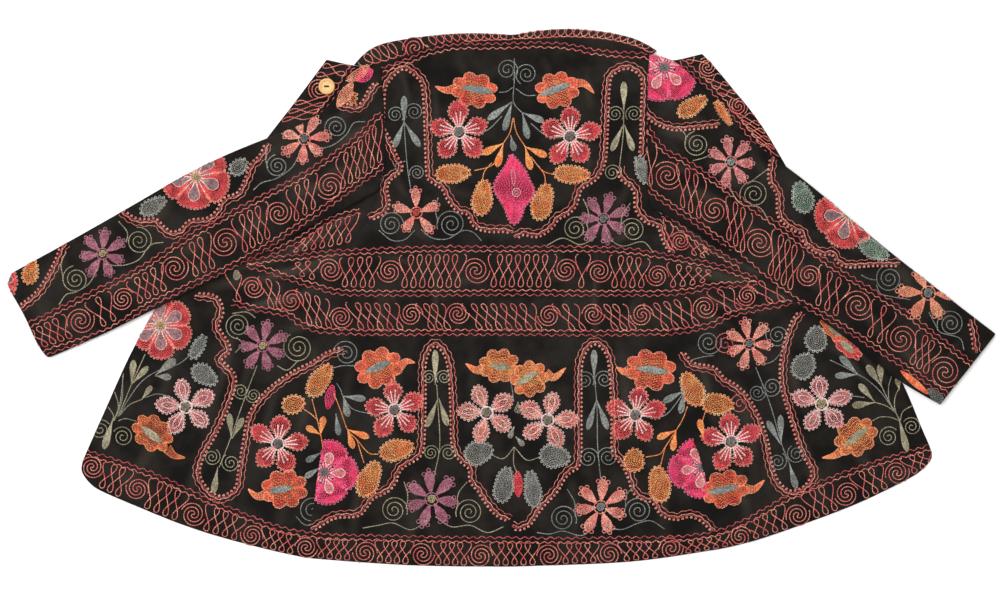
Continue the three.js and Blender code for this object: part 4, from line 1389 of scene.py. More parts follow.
# Each border: its upper edge, its lower edge, its scrolls (x, y, radius), the cloth it is
# sewn to, and which of its edges has a pair of wavy rows.
BORDERS = (
    dict(  # left sleeve
        top=((-668, -42), (-644, -32), (-582, -1), (-500, 40), (-437, 81), (-375, 116),
             (-279, 167), (-210, 213), (-166, 256)),
        bottom=((-640, -80), (-627, -73), (-541, -43), (-486, -8), (-362, 51), (-279, 102),
                (-161, 185)),
        scrolls=((-580, -30, 17), (-522, 0, 14), (-450, 42, 17), (-381, 78, 18),
                 (-307, 118, 16), (-237, 155, 17)),
        cloth=SLEEVES, pairs="both"),
    dict(  # right sleeve
        top=((200, 236), (222, 206), (259, 185), (328, 137), (397, 88), (466, 37), (549, -15),
             (639, -84), (652, -94)),
        bottom=((196, 156), (218, 139), (301, 81), (384, 12), (466, -36), (611, -130),
                (622, -138)),
        scrolls=((228, 170, 18), (292, 122, 18), (354, 77, 18), (422, 32, 15),
                 (490, -9, 19), (549, -55, 19), (610, -101, 20)),
        cloth=SLEEVES, pairs="both"),
    dict(  # above the waist seam
        top=((-352, 50), (-320, 55), (-280, 58), (-240, 63), (-180, 66), (-100, 69), (15, 69),
             (120, 69), (180, 66), (240, 56), (300, 44), (352, 26)),
        bottom=((-352, 46), (-330, 42), (-290, 28), (-250, 16), (-215, 9), (-100, 8), (15, 9),
                (130, 8), (240, 9), (290, 18), (352, 22)),
        scrolls=((-237, 40, 15), (-155, 38, 15), (-36, 39, 17), (88, 40, 15), (134, 38, 15),
                 (214, 32, 14)),
        cloth=BODY, pairs="both"),
    dict(  # below the waist seam
        top=((-384, 44), (-330, 33), (-290, 20), (-250, 6), (-215, -1), (-100, -3), (15, -3),
             (130, -4), (200, -3), (240, 3), (280, 13), (320, 20), (370, 32)),
        bottom=((-372, -4), (-345, -12), (-300, -20), (-280, -32), (-255, -42), (-190, -46),
                (-100, -46), (15, -46), (130, -47), (200, -46), (240, -45), (290, -35),
                (320, -20), (400, -4)),
        scrolls=((-343, 16, 14), (-290, -2, 15), (-222, -26, 14), (-125, -21, 14),
                 (-61, -20, 14), (65, -23, 14), (126, -21, 14), (193, -22, 14),
                 (280, -12, 15), (338, 4, 13)),
        cloth=BODY, pairs="bottom"),
    dict(  # under the left arm
        top=((-196, 122), (-240, 108), (-270, 88), (-300, 72), (-324, 62)),
        bottom=((-206, 76), (-240, 68), (-280, 62), (-310, 58), (-330, 56)),
        scrolls=(), cloth=BODY, pairs="top"),
    dict(  # under the right arm
        top=((222, 116), (260, 88), (300, 62), (330, 45)),
        bottom=((226, 66), (260, 58), (300, 47), (330, 36)),
        scrolls=((246, 80, 12),), cloth=BODY, pairs="top"),
    dict(  # the hem
        top=((-572, -212), (-562, -215), (-484, -242), (-377, -290), (-279, -323),
             (-141, -330), (0, -332), (149, -332), (294, -323), (411, -266), (508, -229),
             (588, -205)),
        bottom=((-588, -246), (-520, -281), (-431, -316), (-382, -332), (-330, -346),
                (-271, -359), (-196, -365), (-106, -370), (13, -371), (132, -367),
                (193, -363), (299, -347), (380, -325), (420, -311), (500, -280),
                (556, -252), (602, -226)),
        scrolls=((-565, -232, 14), (-503, -262, 14), (-426, -297, 15), (-345, -326, 14),
                 (-270, -343, 14), (-189, -350, 15), (-110, -352, 15), (-30, -354, 15),
                 (65, -354, 15), (148, -352, 15), (233, -344, 15), (328, -328, 14),
                 (408, -298, 15), (475, -269, 15), (545, -240, 15)),
        cloth=SKIRT, pairs="top"),
    dict(  # the left front's top corner
        top=((-207, 321), (-226, 288), (-257, 251)),
        bottom=((-244, 331), (-289, 270), (-312, 238)),
        scrolls=((-252, 290, 14),), cloth=FRONTS, pairs="top"),
    dict(  # the right front's top corner
        top=((276, 340), (290, 328), (318, 293), (350, 255), (386, 194)),
        bottom=((246, 330), (269, 309), (291, 288), (322, 252), (352, 214)),
        scrolls=((283, 320, 12), (326, 266, 12)), cloth=FRONTS, pairs="bottom"),
    dict(  # the collar, left
        top=((-199, 325), (-188, 339), (-174, 349), (-158, 353), (-141, 357), (-92, 364),
             (-40, 367), (15, 365)),
        bottom=((-190, 320), (-180, 322), (-168, 325), (-156, 328), (-140, 333), (-80, 350),
                (-24, 355), (15, 356)),
        scrolls=((-120, 346, 15),), cloth=COLLAR, pairs="none", pitch=11.0, narrowest=3.0,
         upright=True),
    dict(  # the collar, right
        top=((15, 365), (50, 371), (86, 374), (142, 369), (186, 360), (212, 344)),
        bottom=((15, 357), (50, 358), (90, 360), (142, 357), (182, 348), (204, 338)),
        scrolls=(), cloth=COLLAR, pairs="none", pitch=11.0, narrowest=3.0,
         upright=True),
)
# The pair of wavy rows along the back's neck.
NECK_PAIR = ((-165, 315), (-131, 327), (-100, 340), (-62, 348), (-24, 348), (15, 349), (50, 350),
             (90, 348), (125, 341), (160, 337), (198, 335), (208, 328))
# Each garland: its places, the side of it that its loops stand on (1 is left), and the cloth.
GARLANDS = (
    # the back's left niche, and on to the middle of the back
    (((-168, 232), (-167, 260), (-163, 296), (-137, 321), (-112, 306), (-105, 288),
      (-102, 230), (-100, 175), (-96, 166), (-80, 155), (-72, 140), (-60, 125), (-45, 120),
      (-40, 110), (-33, 101), (-15, 97), (5, 97), (15, 93)), -1, BACK),
    (((-168, 236), (-157, 215), (-149, 195), (-142, 180), (-158, 166), (-163, 150),
      (-160, 135), (-164, 122), (-184, 112)), 1, BACK + SIDES),
    # the back's right niche
    (((16, 86), (30, 93), (48, 90), (65, 100), (75, 113), (88, 120), (98, 130), (103, 145),
      (108, 156), (127, 168), (138, 190), (141, 230), (144, 296), (152, 314), (172, 322),
      (190, 314), (197, 298), (196, 255), (195, 210), (192, 196)), -1, BACK),
    (((163, 182), (167, 168), (180, 158), (187, 145), (188, 125), (200, 110), (218, 103),
      (223, 90), (228, 77), (238, 64)), -1, BACK + SIDES),
    # the skirt's left niche
    (((-264, -317), (-240, -302), (-225, -297), (-200, -295), (-190, -285), (-180, -272),
      (-160, -262), (-150, -250), (-147, -240), (-138, -228), (-118, -216), (-112, -200),
      (-110, -140), (-109, -84), (-93, -60), (-73, -82), (-67, -140), (-65, -200),
      (-55, -220), (-42, -232), (-40, -250), (-30, -262), (-20, -278), (-5, -295),
      (12, -303)), -1, SKIRT),
    # the skirt's right niche
    (((14, -312), (24, -314), (36, -308), (45, -295), (55, -282), (72, -264), (82, -247),
      (92, -235), (104, -222), (105, -150), (107, -84), (127, -58), (149, -78), (155, -140),
      (156, -208), (162, -218), (172, -232), (180, -250), (184, -264), (196, -273),
      (210, -277), (222, -294), (240, -300), (258, -296), (276, -302), (294, -319)), -1,
     SKIRT),
    # the left front of the skirt
    (((-424, 4), (-397, 0), (-389, -18), (-395, -39), (-379, -68), (-391, -84), (-372, -108),
      (-378, -139), (-395, -179), (-415, -215), (-421, -243), (-407, -267), (-386, -276),
      (-364, -262), (-359, -236), (-353, -200), (-344, -158), (-320, -128), (-290, -106),
      (-259, -90), (-240, -78), (-218, -70)), 1, SKIRT),
    # the right front of the skirt
    (((246, -74), (262, -92), (290, -98), (303, -112), (320, -122), (336, -138), (352, -167),
      (362, -196), (367, -224), (377, -253), (397, -269), (420, -261), (431, -238),
      (416, -208), (399, -156), (388, -112), (391, -70), (402, -36), (414, -18)), 1, SKIRT),
    # the left sleeve
    (((-600, 76), (-605, 68), (-612, 50), (-625, 25), (-640, 5), (-664, -14)), -1, SLEEVES),
    (((-528, 122), (-508, 108), (-490, 105), (-478, 106), (-468, 96), (-455, 88), (-440, 92),
      (-428, 104), (-405, 107), (-390, 118), (-380, 135), (-361, 143), (-349, 165),
      (-343, 182), (-330, 195), (-321, 214)), 1, SLEEVES),
    (((-226, 266), (-200, 262), (-188, 270), (-180, 285), (-170, 297)), 1, SLEEVES),
    # the right sleeve
    (((196, 260), (212, 246), (235, 237), (260, 238), (300, 242)), -1, SLEEVES),
    (((374, 196), (371, 165), (382, 145), (384, 116), (400, 100), (415, 93), (419, 80),
      (432, 69), (445, 65), (456, 66), (465, 53), (480, 48), (510, 50), (548, 50)), -1,
     SLEEVES),
    (((645, -28), (650, -45), (654, -74)), -1, SLEEVES),
)


# ---------------------------------------- charts of the flowers

SKIRT_BACK_LEFT = ("skirt_back_left",)
SKIRT_BACK_RIGHT = ("skirt_back_right",)
LEFT_OF_SEAM = ("skirt_side_left", "skirt_front_left")

# Star flowers: x, y, radius, turn in degrees, cloth, petals, heart, another rim or None.
STARS = (
    (-59, 230, 41, 92, BACK, "crimson", "slate", None),
    (94, 224, 41, 88, BACK, "crimson", "slate", None),
    (-148, -153, 40, 96, SKIRT_BACK_LEFT, "crimson", "slate", None),
    (184, -160, 40, 84, SKIRT_BACK_RIGHT, "crimson", "slate", None),
    (-309, -200, 40, 80, SKIRT, "crimson", "slate", None),
    (316, -197, 41, 96, SKIRT, "crimson", "slate", None),
    (-21, -157, 40, 108, SKIRT, "salmon", "olive", "peach"),
    (63, -167, 40, 76, SKIRT, "salmon", "olive", "peach"),
    (-436, -149, 40, 100, SKIRT, "dusty", "olive", "blush"),
    (441, -145, 40, 94, SKIRT, "dusty", "straw", "blush"),
)
# Daisies: x, y, radius, turn, cloth, petals, heart, petals in all.
DAISIES = (
    (-118, 119, 37, 92, BACK, "salmon", "scarlet", 5),
    (140, 110, 39, 74, BACK, "plum", "slate", 7),
    (-97, -276, 43, 96, SKIRT, "plum", "straw", 7),
    (136, -287, 43, 84, SKIRT, "salmon", "slate", 7),
    (-330, -65, 38, 78, SKIRT, "plum", "straw", 7),
    (341, -62, 38, 100, SKIRT, "salmon", "slate", 7),
    (-550, 62, 37, 84, SLEEVES, "plum", "straw", 7),
    (-272, 220, 38, 60, SLEEVES, "salmon", "slate", 7),
    (315, 188, 38, 100, SLEEVES, "dusty", "sage", 7),
    (587, 8, 46, -4, SLEEVES, "apricot", "slate", 6),
)
# Full blooms: x, y, radius, turn, petals in all, cloth.
FULL_BLOOMS = (
    (-421, 168, 47, -24, 5, SLEEVES),
    (477, 116, 47, 183, 5, SLEEVES),
    (-471, -37, 46, 32, 6, SKIRT),
    (-692, 24, 27, 10, 5, SLEEVES),
)
# Looped blooms: x, y, radius, turn, cloth, petals.
LOOPED_BLOOMS = (
    (-245, -240, 47, 0, SKIRT_BACK_LEFT, "magenta"),
    (276, -232, 46, 190, SKIRT_BACK_RIGHT, "magenta"),
    (223, 318, 50, -45, SLEEVES, "magenta"),
)
# The bud in the middle of the back: its edge.
MIDDLE_BUD = ((12, 199), (9, 189), (4, 180), (-4, 169), (-10, 156), (-8, 147), (-1, 136),
              (5, 126), (8, 117), (12, 108), (17, 104), (22, 108), (27, 117), (30, 128),
              (40, 139), (43, 151), (37, 163), (32, 175), (24, 186), (17, 194), (12, 199))
MIDDLE_BUD_SPINE = (15 + 182j, 17 + 128j)
MIDDLE_BUD_RING = 20 + 147j
MIDDLE_BUD_SPINDLE = (15, 182, -87)  # x, y and turn of its root
# Buds of close rows: x, y, length, width, turn, cloth, dye.
BUDS = (
    (-237, -135, 34, 12, 78, SKIRT, "magenta"),
    (22, -255, 36, 12, 92, SKIRT, "crimson"),
    (-199, 311, 38, 17, 32, SLEEVES, "apricot"),
    (-216, 281, 40, 14, 58, SLEEVES, "apricot"),
    (-189, 308, 27, 16, 34, SLEEVES, "magenta"),
    (568, -115, 50, 8, -40, SLEEVES, "flame"),
    (598, -134, 32, 11, -40, SLEEVES, "slate"),
)


# ---------------------------------------- charts of the leaves

# Big scalloped leaves: x, y, length, width, turn, dark slit, tail, cloth, dye.
SCALLOPED = (
    (-38, 288, 60, 43, -10, ((-56, 292), (-10, 285)), ((-64, 290), (-78, 288), (-92, 293)),
     BACK, "flame"),
    (76, 288, 57, 45, 10, ((52, 281), (95, 297)), ((98, 297), (113, 297), (127, 284)),
     BACK, "flame"),
    (-170, -95, 62, 50, 14, ((-188, -101), (-153, -86)), ((-142, -94), (-132, -86),
     (-120, -88)), SKIRT, "flame"),
    (205, -98, 66, 50, -8, ((185, -95), (230, -101)), ((176, -98), (168, -100),
     (158, -94)), SKIRT, "flame"),
    (-300, -262, 60, 48, 6, ((-322, -265), (-289, -260)), ((-326, -270), (-338, -272),
     (-350, -262)), SKIRT, "flame"),
    (308, -262, 62, 46, 12, ((284, -268), (326, -258)), ((336, -262), (348, -262),
     (362, -250)), SKIRT, "flame"),
    (-4, -92, 52, 42, 4, ((-16, -92), (13, -95)), ((-26, -96), (-36, -98), (-50, -89)),
     SKIRT, "orange"),
    (38, -110, 50, 44, 26, ((19, -119), (50, -99)), ((60, -102), (72, -108), (88, -95)),
     SKIRT, "orange"),
    (-482, -185, 56, 42, -36, ((-497, -176), (-468, -199)), ((-462, -206), (-452, -216),
     (-437, -219)), SKIRT, "rust"),
    (488, -190, 58, 46, 34, ((473, -203), (505, -176)), ((470, -208), (458, -216),
     (442, -219)), SKIRT, "orange"),
    (460, -42, 46, 24, -40, ((450, -36), (472, -52)), None, SKIRT, "rust"),
    (476, -66, 46, 20, -40, ((466, -58), (486, -74)), None, SKIRT, "crimson"),
)
# Leaves with looped edges, by cloth, dye of the body and dye of the loops: x, y, length, width,
# turn.
LOOPED = (
    (BACK, "orange", "orange",
     ((-67, 173, 50, 27, 4), (-27, 140, 52, 29, 82), (97, 172, 52, 26, -4), (56, 134, 54, 30, 74))),
    (SKIRT, "orange", "orange",
     ((-145, -208, 50, 30, 14), (-183, -248, 55, 31, 66), (-251, -112, 54, 28, 56),
      (-287, -145, 34, 27, 16), (182, -222, 34, 30, 84), (217, -255, 52, 31, 98),
      (262, -124, 52, 31, 116), (298, -145, 46, 30, -6))),
    (SKIRT, "slate", "ash",
     ((-32, -212, 42, 33, 20), (3, -256, 52, 28, 78), (73, -217, 44, 33, -10),
      (42, -262, 54, 24, 98), (-410, -105, 42, 27, -35), (433, -55, 38, 31, 86),
      (416, -92, 40, 33, 60))),
    (("side_left", "back_left"), "slate", "ash",
     ((-175, 172, 34, 21, 80),)),
    (BACK, "slate", "ash",
     ((194, 178, 44, 21, 112),)),
    (SKIRT, "slate", "slate",
     ((-419, -66, 40, 18, 60),)),
    (SLEEVES, "orange", "orange",
     ((-649, 37, 36, 23, 76), (262, 265, 48, 24, 32))),
    (SLEEVES, "slate", "ash",
     ((-480, 128, 42, 23, 30), (-362, 182, 30, 22, 40))),
    (SLEEVES, "sage", "sage",
     ((413, 140, 46, 30, 106), (512, 68, 48, 26, -30))),
    (SLEEVES, "rust", "rust",
     ((-205, 276, 22, 12, 70),)),
    (FRONTS, "orange", "orange",
     ((305, 256, 44, 13, -58),)),
)
# Drops and stems of the plants, by cloth and dye. A drop is its tail, its tip and its width.
PLANTS = (
    (BACK, "orange",
     (((2, 215), (-27, 200), 10), ((2, 215), (-7, 182), 10), ((32, 210), (62, 197), 10),
      ((32, 210), (40, 178), 10)),
     (((15, 250), (11, 230), (2, 215)), ((-5, 200), (-14, 184), (-38, 177)),
      ((-14, 188), (-24, 176), (-27, 164)), ((16, 250), (20, 230), (32, 210)),
      ((40, 196), (56, 177), (74, 171)), ((50, 184), (58, 172), (60, 160)))),
    (BACK, "slate",
     (((14, 272), (-20, 247), 9), ((14, 272), (3, 232), 9), ((28, 257), (58, 245), 9),
      ((28, 257), (36, 221), 9), ((12, 226), (17, 204), 8)),
     (((17, 332), (17, 300), (16, 272), (28, 256)), ((15, 292), (6, 286), (-4, 285)),
      ((19, 290), (33, 281), (47, 281)), ((0, 252), (-20, 233), (-42, 228)),
      ((40, 242), (60, 226), (82, 222)))),
    (SKIRT, "orange",
     (((-213, -180), (-183, -191), 9), ((-213, -180), (-205, -206), 9),
      ((-250, -187), (-270, -176), 9), ((-250, -187), (-246, -162), 9),
      ((240, -181), (214, -192), 9), ((240, -181), (235, -209), 9), ((278, -192), (272, -166), 9)),
     (((-232, -130), (-222, -155), (-213, -180), (-200, -194), (-184, -212), (-170, -214)),
      ((-262, -138), (-255, -165), (-250, -187), (-247, -206)),
      ((-276, -150), (-264, -158), (-255, -166)), ((-200, -194), (-194, -214), (-190, -226)),
      ((256, -148), (249, -166), (240, -181), (225, -204), (217, -214), (198, -218)),
      ((282, -150), (276, -172), (278, -192)), ((225, -204), (221, -220), (218, -232)))),
    (SKIRT, "slate",
     (((-219, -134), (-188, -138), 9), ((-219, -134), (-212, -162), 9),
      ((-229, -158), (-225, -188), 8), ((-250, -212), (-270, -224), 8),
      ((252, -126), (222, -142), 9), ((252, -126), (246, -158), 9), ((490, -103), (466, -79), 9),
      ((490, -104), (459, -106), 9)),
     (((-228, -116), (-222, -126), (-219, -134), (-205, -152), (-172, -160)),
      ((252, -112), (250, -120), (252, -126), (228, -158), (206, -164)),
      ((10, -108), (14, -124), (16, -140)), ((-535, -168), (-524, -140), (-523, -106)),
      ((-529, -162), (-513, -135), (-495, -112), (-472, -98), (-445, -89), (-424, -72)),
      ((-529, -168), (-519, -165), (-503, -169)),
      ((-492, -136), (-476, -131), (-460, -134), (-449, -140)),
      ((546, -162), (535, -144), (533, -122), (537, -107)),
      ((541, -154), (522, -128), (504, -112), (489, -103), (475, -95), (452, -84)),
      ((500, -136), (484, -134), (464, -136)))),
    (LEFT_OF_SEAM, "slate",
     (((-250, -232), (-272, -246), 8),),
     ()),
    (SKIRT, "ash",
     (((17, -176), (10, -192), 7), ((19, -190), (30, -202), 7), ((-478, -105), (-450, -83), 12),
      ((-478, -106), (-456, -108), 9)),
     ()),
    (SKIRT, "olive",
     (((22, -142), (22, -157), 9), ((-511, -118), (-508, -84), 9), ((-511, -118), (-488, -93), 8),
      ((-497, -139), (-483, -120), 7), ((-536, -164), (-549, -207), 10),
      ((523, -120), (503, -91), 10), ((523, -120), (521, -90), 9), ((514, -142), (492, -117), 9),
      ((513, -143), (483, -147), 10), ((548, -125), (545, -109), 8), ((547, -163), (559, -211), 9),
      ((-366, 48), (-366, 26), 9)),
     (((17, -204), (16, -226), (21, -240)), ((17, -204), (2, -220), (-16, -214)),
      ((17, -204), (34, -222), (52, -218)), ((-536, -168), (-527, -145), (-522, -103)),
      ((-534, -166), (-529, -148), (-534, -128)), ((-537, -170), (-536, -160), (-543, -149)),
      ((-530, -162), (-520, -140), (-511, -118), (-503, -100), (-492, -76)),
      ((-527, -160), (-514, -146), (-498, -139)),
      ((549, -170), (542, -152), (542, -136), (548, -122)),
      ((541, -154), (530, -134), (523, -119)), ((544, -158), (531, -148), (513, -142)),
      ((548, -168), (535, -163), (521, -163), (511, -168)), ((549, -168), (553, -155), (566, -147)))),
)


# ---------------------------------------- charts of the sprigs

# Little trees in the niches: dye, cloth, club, scrolls, drops, stems. A scroll is its x, y,
# radius, where its rim starts in degrees, and its hand.
SPRIGS = (
    ("slate", BACK, ((-135, 240), (-135, 280)),
     ((-147, 254, 10, -40, 1), (-121, 258, 11, 220, -1), (-117, 174, 9, 200, -1)),
     (((-135, 244), (-149, 208)), ((-135, 244), (-113, 210))),
     (((-135, 244), (-133, 212), (-130, 178), (-124, 142)),
      ((-133, 190), (-146, 186), (-144, 174), (-137, 178)))),
    ("olive", BACK, ((168, 258), (168, 300)),
     ((156, 255, 10, -40, 1), (182, 255, 10, 220, -1), (152, 174, 10, -20, 1)),
     (((167, 240), (151, 204)), ((169, 240), (181, 204))),
     (((168, 258), (167, 226), (162, 182)),)),
    ("olive", SKIRT, ((-92, -118), (-92, -70)),
     ((-101, -108, 9, -40, 1), (-80, -108, 9, 220, -1), (-98, -212, 9, 0, 1),
      (-74, -212, 10, 180, -1)),
     (((-88, -137), (-104, -177)), ((-87, -137), (-75, -175))),
     (((-90, -118), (-88, -150), (-86, -204), (-95, -250)),)),
    ("slate", SKIRT, ((127, -112), (127, -70)),
     ((114, -112, 11, -30, 1), (141, -111, 11, 210, -1), (119, -219, 12, 0, 1),
      (146, -218, 12, 180, -1)),
     (((130, -140), (118, -180)), ((131, -140), (146, -180))),
     (((128, -112), (131, -150), (132, -205), (137, -256)),)),
    ("olive", SKIRT, ((-392, -232), (-398, -268)),
     ((-400, -218, 10, 60, -1), (-374, -226, 11, 120, 1), (-360, -127, 10, 0, -1),
      (-343, -133, 9, 180, 1)),
     (((-373, -192), (-376, -158)), ((-372, -192), (-357, -164))),
     (((-390, -232), (-375, -194), (-356, -140), (-338, -92)),)),
    ("slate", SKIRT, ((396, -226), (406, -262)),
     ((380, -224, 11, 60, -1), (406, -214, 11, 120, 1), (352, -129, 10, 0, -1),
      (372, -121, 12, 180, 1)),
     (((384, -200), (366, -168)), ((385, -200), (384, -160))),
     (((396, -226), (385, -198), (370, -146), (350, -94)),)),
    ("olive", SKIRT, None,
     ((-554, -180, 12, 30, 1), (-523, -190, 12, 150, -1)),
     (), ()),
    ("olive", SKIRT, None,
     ((533, -190, 12, 40, 1), (565, -176, 11, 150, -1)),
     (), ()),
    ("slate", BACK, None,
     ((7, 316, 13, -60, 1), (34, 310, 13, 240, -1)),
     (), ()),
)
# Free scrolls: x, y, radius, turns, start in degrees, hand, dye, cloth, tails.
SCROLLS = (
    (-153, 103, 16, 2.6, -20, 1, "slate", BACK + SIDES,
     (((-120, 95), (-134, 82), (-152, 81), (-170, 95)),)),
    (-70, 103, 18, 2.7, 200, -1, "slate", BACK,
     (((-88, 140), (-92, 124), (-88, 106)),
      ((-112, 96), (-96, 84), (-75, 83), (-55, 94), (-40, 92), (-28, 80)))),
    (101, 97, 16, 2.6, -20, 1, "olive", BACK,
     (((112, 138), (119, 120), (117, 100)), ((62, 74), (84, 84), (108, 75), (130, 86)))),
    (180, 95, 16, 2.6, 200, -1, "olive", BACK,
     (((177, 132), (166, 116), (164, 98)),
      ((143, 95), (152, 80), (168, 73), (194, 79), (209, 64)))),
    (-149, -291, 17, 2.7, -20, 1, "olive", SKIRT,
     (((-135, -252), (-130, -270), (-132, -290)),
      ((-192, -316), (-170, -312), (-150, -309), (-124, -318), (-98, -300)))),
    (-45, -294, 17, 2.7, 200, -1, "olive", SKIRT,
     (((-48, -252), (-60, -268), (-62, -290)),
      ((-92, -300), (-70, -314), (-44, -312), (-20, -322), (2, -314)))),
    (84, -303, 17, 2.7, -20, 1, "slate", SKIRT,
     (((90, -262), (100, -280), (101, -300)),
      ((48, -322), (66, -324), (84, -320), (110, -326), (130, -312)))),
    (188, -292, 17, 2.7, 200, -1, "slate", SKIRT,
     (((184, -256), (172, -270), (170, -290)),
      ((142, -312), (164, -318), (188, -309), (206, -306), (224, -317)))),
    (-281, -67, 19, 2.8, 120, 1, "olive", SKIRT,
     (((-310, -92), (-296, -98), (-282, -86)),)),
    (-215, -75, 16, 2.4, 160, -1, "slate", SKIRT, (((-236, -96), (-220, -92), (-204, -92)),)),
    (-364, -37, 16, 2.7, -90, -1, "olive", SKIRT,
     (((-340, -26), (-352, -18), (-372, -20)), ((-366, -53), (-358, -62), (-368, -74)))),
    (285, -60, 16, 2.5, 20, -1, "slate", SKIRT,
     (((262, -84), (276, -80), (292, -78)),)),
    (308, -62, 14, 2.2, 60, 1, "wine", SKIRT, ()),
    (328, -145, 13, 1.8, 60, 1, "wine", SKIRT, ()),
    (-262, -292, 17, 2.3, 20, 1, "slate", LEFT_OF_SEAM, (((-284, -300), (-270, -312),
     (-250, -306)),)),
    (380, -50, 15, 2.4, 140, 1, "slate", SKIRT, (((362, -90), (376, -84), (390, -66)),)),
    (-587, 27, 17, 2.7, 100, 1, "olive", SLEEVES,
     (((-600, 65), (-607, 48), (-604, 28)),
      ((-610, -8), (-600, 6), (-586, 10), (-568, 22), (-555, 46)))),
    (-500, 80, 17, 2.7, 100, -1, "olive", SLEEVES,
     (((-528, 107), (-516, 92), (-517, 78)),
      ((-547, 48), (-524, 46), (-500, 54), (-484, 74), (-466, 78)))),
    (-309, 183, 14, 2.6, 100, 1, "slate", SLEEVES,
     (((-322, 208), (-325, 194), (-322, 180)),
      ((-342, 150), (-330, 160), (-310, 166), (-290, 180), (-280, 196)))),
    (-228, 236, 15, 2.6, 250, -1, "slate", SLEEVES,
     (((-252, 206), (-232, 212), (-214, 226), (-204, 242), (-188, 244)),)),
    (268, 213, 16, 2.7, 100, 1, "olive", SLEEVES,
     (((240, 238), (252, 226), (252, 212)),
      ((262, 190), (282, 196), (296, 208)))),
    (347, 144, 18, 2.7, 200, -1, "olive", SLEEVES,
     (((367, 180), (354, 170), (338, 158)),
      ((312, 167), (316, 148), (330, 130), (354, 126), (366, 109)))),
    (533, 28, 17, 2.7, 100, 1, "slate", SLEEVES,
     (((494, 33), (504, 28), (514, 26)),
      ((515, 20), (520, 8), (532, 4), (562, -1)))),
    (618, -34, 17, 2.7, 200, -1, "slate", SLEEVES,
     (((588, -18), (596, -34), (604, -46), (630, -54), (636, -70)),)),
    (487, -60, 12, 2.0, 60, 1, "wine", SKIRT, ()),
    (360, 202, 12, 2.0, 200, 1, "rose", FRONTS, ()),
)


# ---------------------------------------- sewing the charts

def sew_group(name, *charts):
    """Sews one group of motifs. Each chart is a motif and the rows that it is sewn from."""
    sew = Sewing(name)
    for motif, rows in charts:
        for row in rows:
            motif(sew, *row)
    sew.finish()


def middle_bud(sew):
    """The big bud in the middle of the back, with a small ring and a spindle in it."""
    edge = curve(MIDDLE_BUD)
    sew.loops("candy", edge, -1, BACK)
    sew.fill("magenta", edge, MIDDLE_BUD_SPINE, BACK)
    for radius in (5.6, 2.6):
        sew.row("blush", ring(MIDDLE_BUD_RING, radius), BACK, width=0.7, lift=0.45)
    spindle = petal(26, 5, root=0.0, belly=0.5, blunt=0.7)
    sew.row("blush", moved(spindle, *MIDDLE_BUD_SPINDLE), BACK, width=0.5, lift=0.45)


# ---------------------------------------- the stage

# Soft lamps round the table: name, place and width in metres, share of the main power.
LAMPS = (
    ("overhead", (-0.5, 0.7, 2.7), 2.4, 1.0),
    ("left", (-2.6, 0.9, 1.7), 1.6, 0.42),
    ("far", (0.6, 2.8, 1.5), 1.6, 0.30),
    ("near", (0.9, -2.6, 2.0), 1.8, 0.24),
)
FLOOR_SIZE = 9.0
FLOOR_DROP = 0.15 * MM  # the table lies this far under the cloth
FLOOR_MOTTLE = 0.985  # share of its own colour that the table keeps in soft patches
SENSOR_WIDTH = 36.0  # mm
SKY_STRENGTH = 0.57
SKY_COLOUR = (1.0, 0.985, 0.965, 1.0)


def lay_table(stage, scene):
    bm = bmesh.new()
    bmesh.ops.create_grid(bm, x_segments=1, y_segments=1, size=FLOOR_SIZE / 2)
    bmesh.ops.translate(bm, vec=(0, 0, -FLOOR_DROP), verts=bm.verts)
    mesh = finished_mesh(bm, "table")
    material, tree, where, shader = new_material("Pale table")
    tone = tree.mix(tree.noise(where, 1.2, 2.0), stage.floor,
                    darkened(stage.floor, FLOOR_MOTTLE))
    tree.link(tone, shader.inputs["Base Color"])
    shader.inputs["Roughness"].default_value = 0.9
    shader.inputs["Specular IOR Level"].default_value = 0.1
    mesh.materials.append(material)
    floor = bpy.data.objects.new("table", mesh)
    scene.collection.objects.link(floor)


def hang_lamps(stage, scene):
    aim = Vector((stage.aim_x, stage.aim_y, 0.0))
    for name, place, width, share in LAMPS:
        light = bpy.data.lights.new(name, "AREA")
        light.shape = "DISK"
        light.size = width
        light.energy = stage.lamp_power * share
        lamp = bpy.data.objects.new(name, light)
        lamp.location = place
        lamp.rotation_euler = (aim - lamp.location).to_track_quat("-Z", "Y").to_euler()
        scene.collection.objects.link(lamp)
    sky = bpy.data.worlds.new("Pale room")
    sky.use_nodes = True
    backdrop = sky.node_tree.nodes["Background"]
    backdrop.inputs["Color"].default_value = SKY_COLOUR
    backdrop.inputs["Strength"].default_value = SKY_STRENGTH
    scene.world = sky


def set_camera(stage, scene):
    """A camera straight above the coat."""
    lens = bpy.data.cameras.new("camera")
    lens.lens = stage.lens
    lens.sensor_width = SENSOR_WIDTH
    camera = bpy.data.objects.new("camera", lens)
    camera.location = (stage.aim_x, stage.aim_y, stage.camera_height)
    scene.collection.objects.link(camera)
    scene.camera = camera
    scene.view_settings.view_transform = "Standard"


# ---------------------------------------- operators

class COAT_OT_stage(bpy.types.Operator):
    """Lay a pale table under the coat, with soft lamps and a camera straight above it"""
    bl_idname = "coat.stage"
    bl_label = "Table, lamps and camera"

    def execute(self, context):
        for build in (lay_table, hang_lamps, set_camera):
            build(settings().stage, context.scene)
        return {"FINISHED"}


class COAT_OT_panels(bpy.types.Operator):
    """Make the back, the sides, the fronts and the skirts as creased velvet shells"""
    bl_idname = "coat.panels"
    bl_label = "Cloth panels"

    def execute(self, context):
        rims = panel_rims()
        for panel in PANELS:
            cloth_panel(*panel, rims)
        return {"FINISHED"}


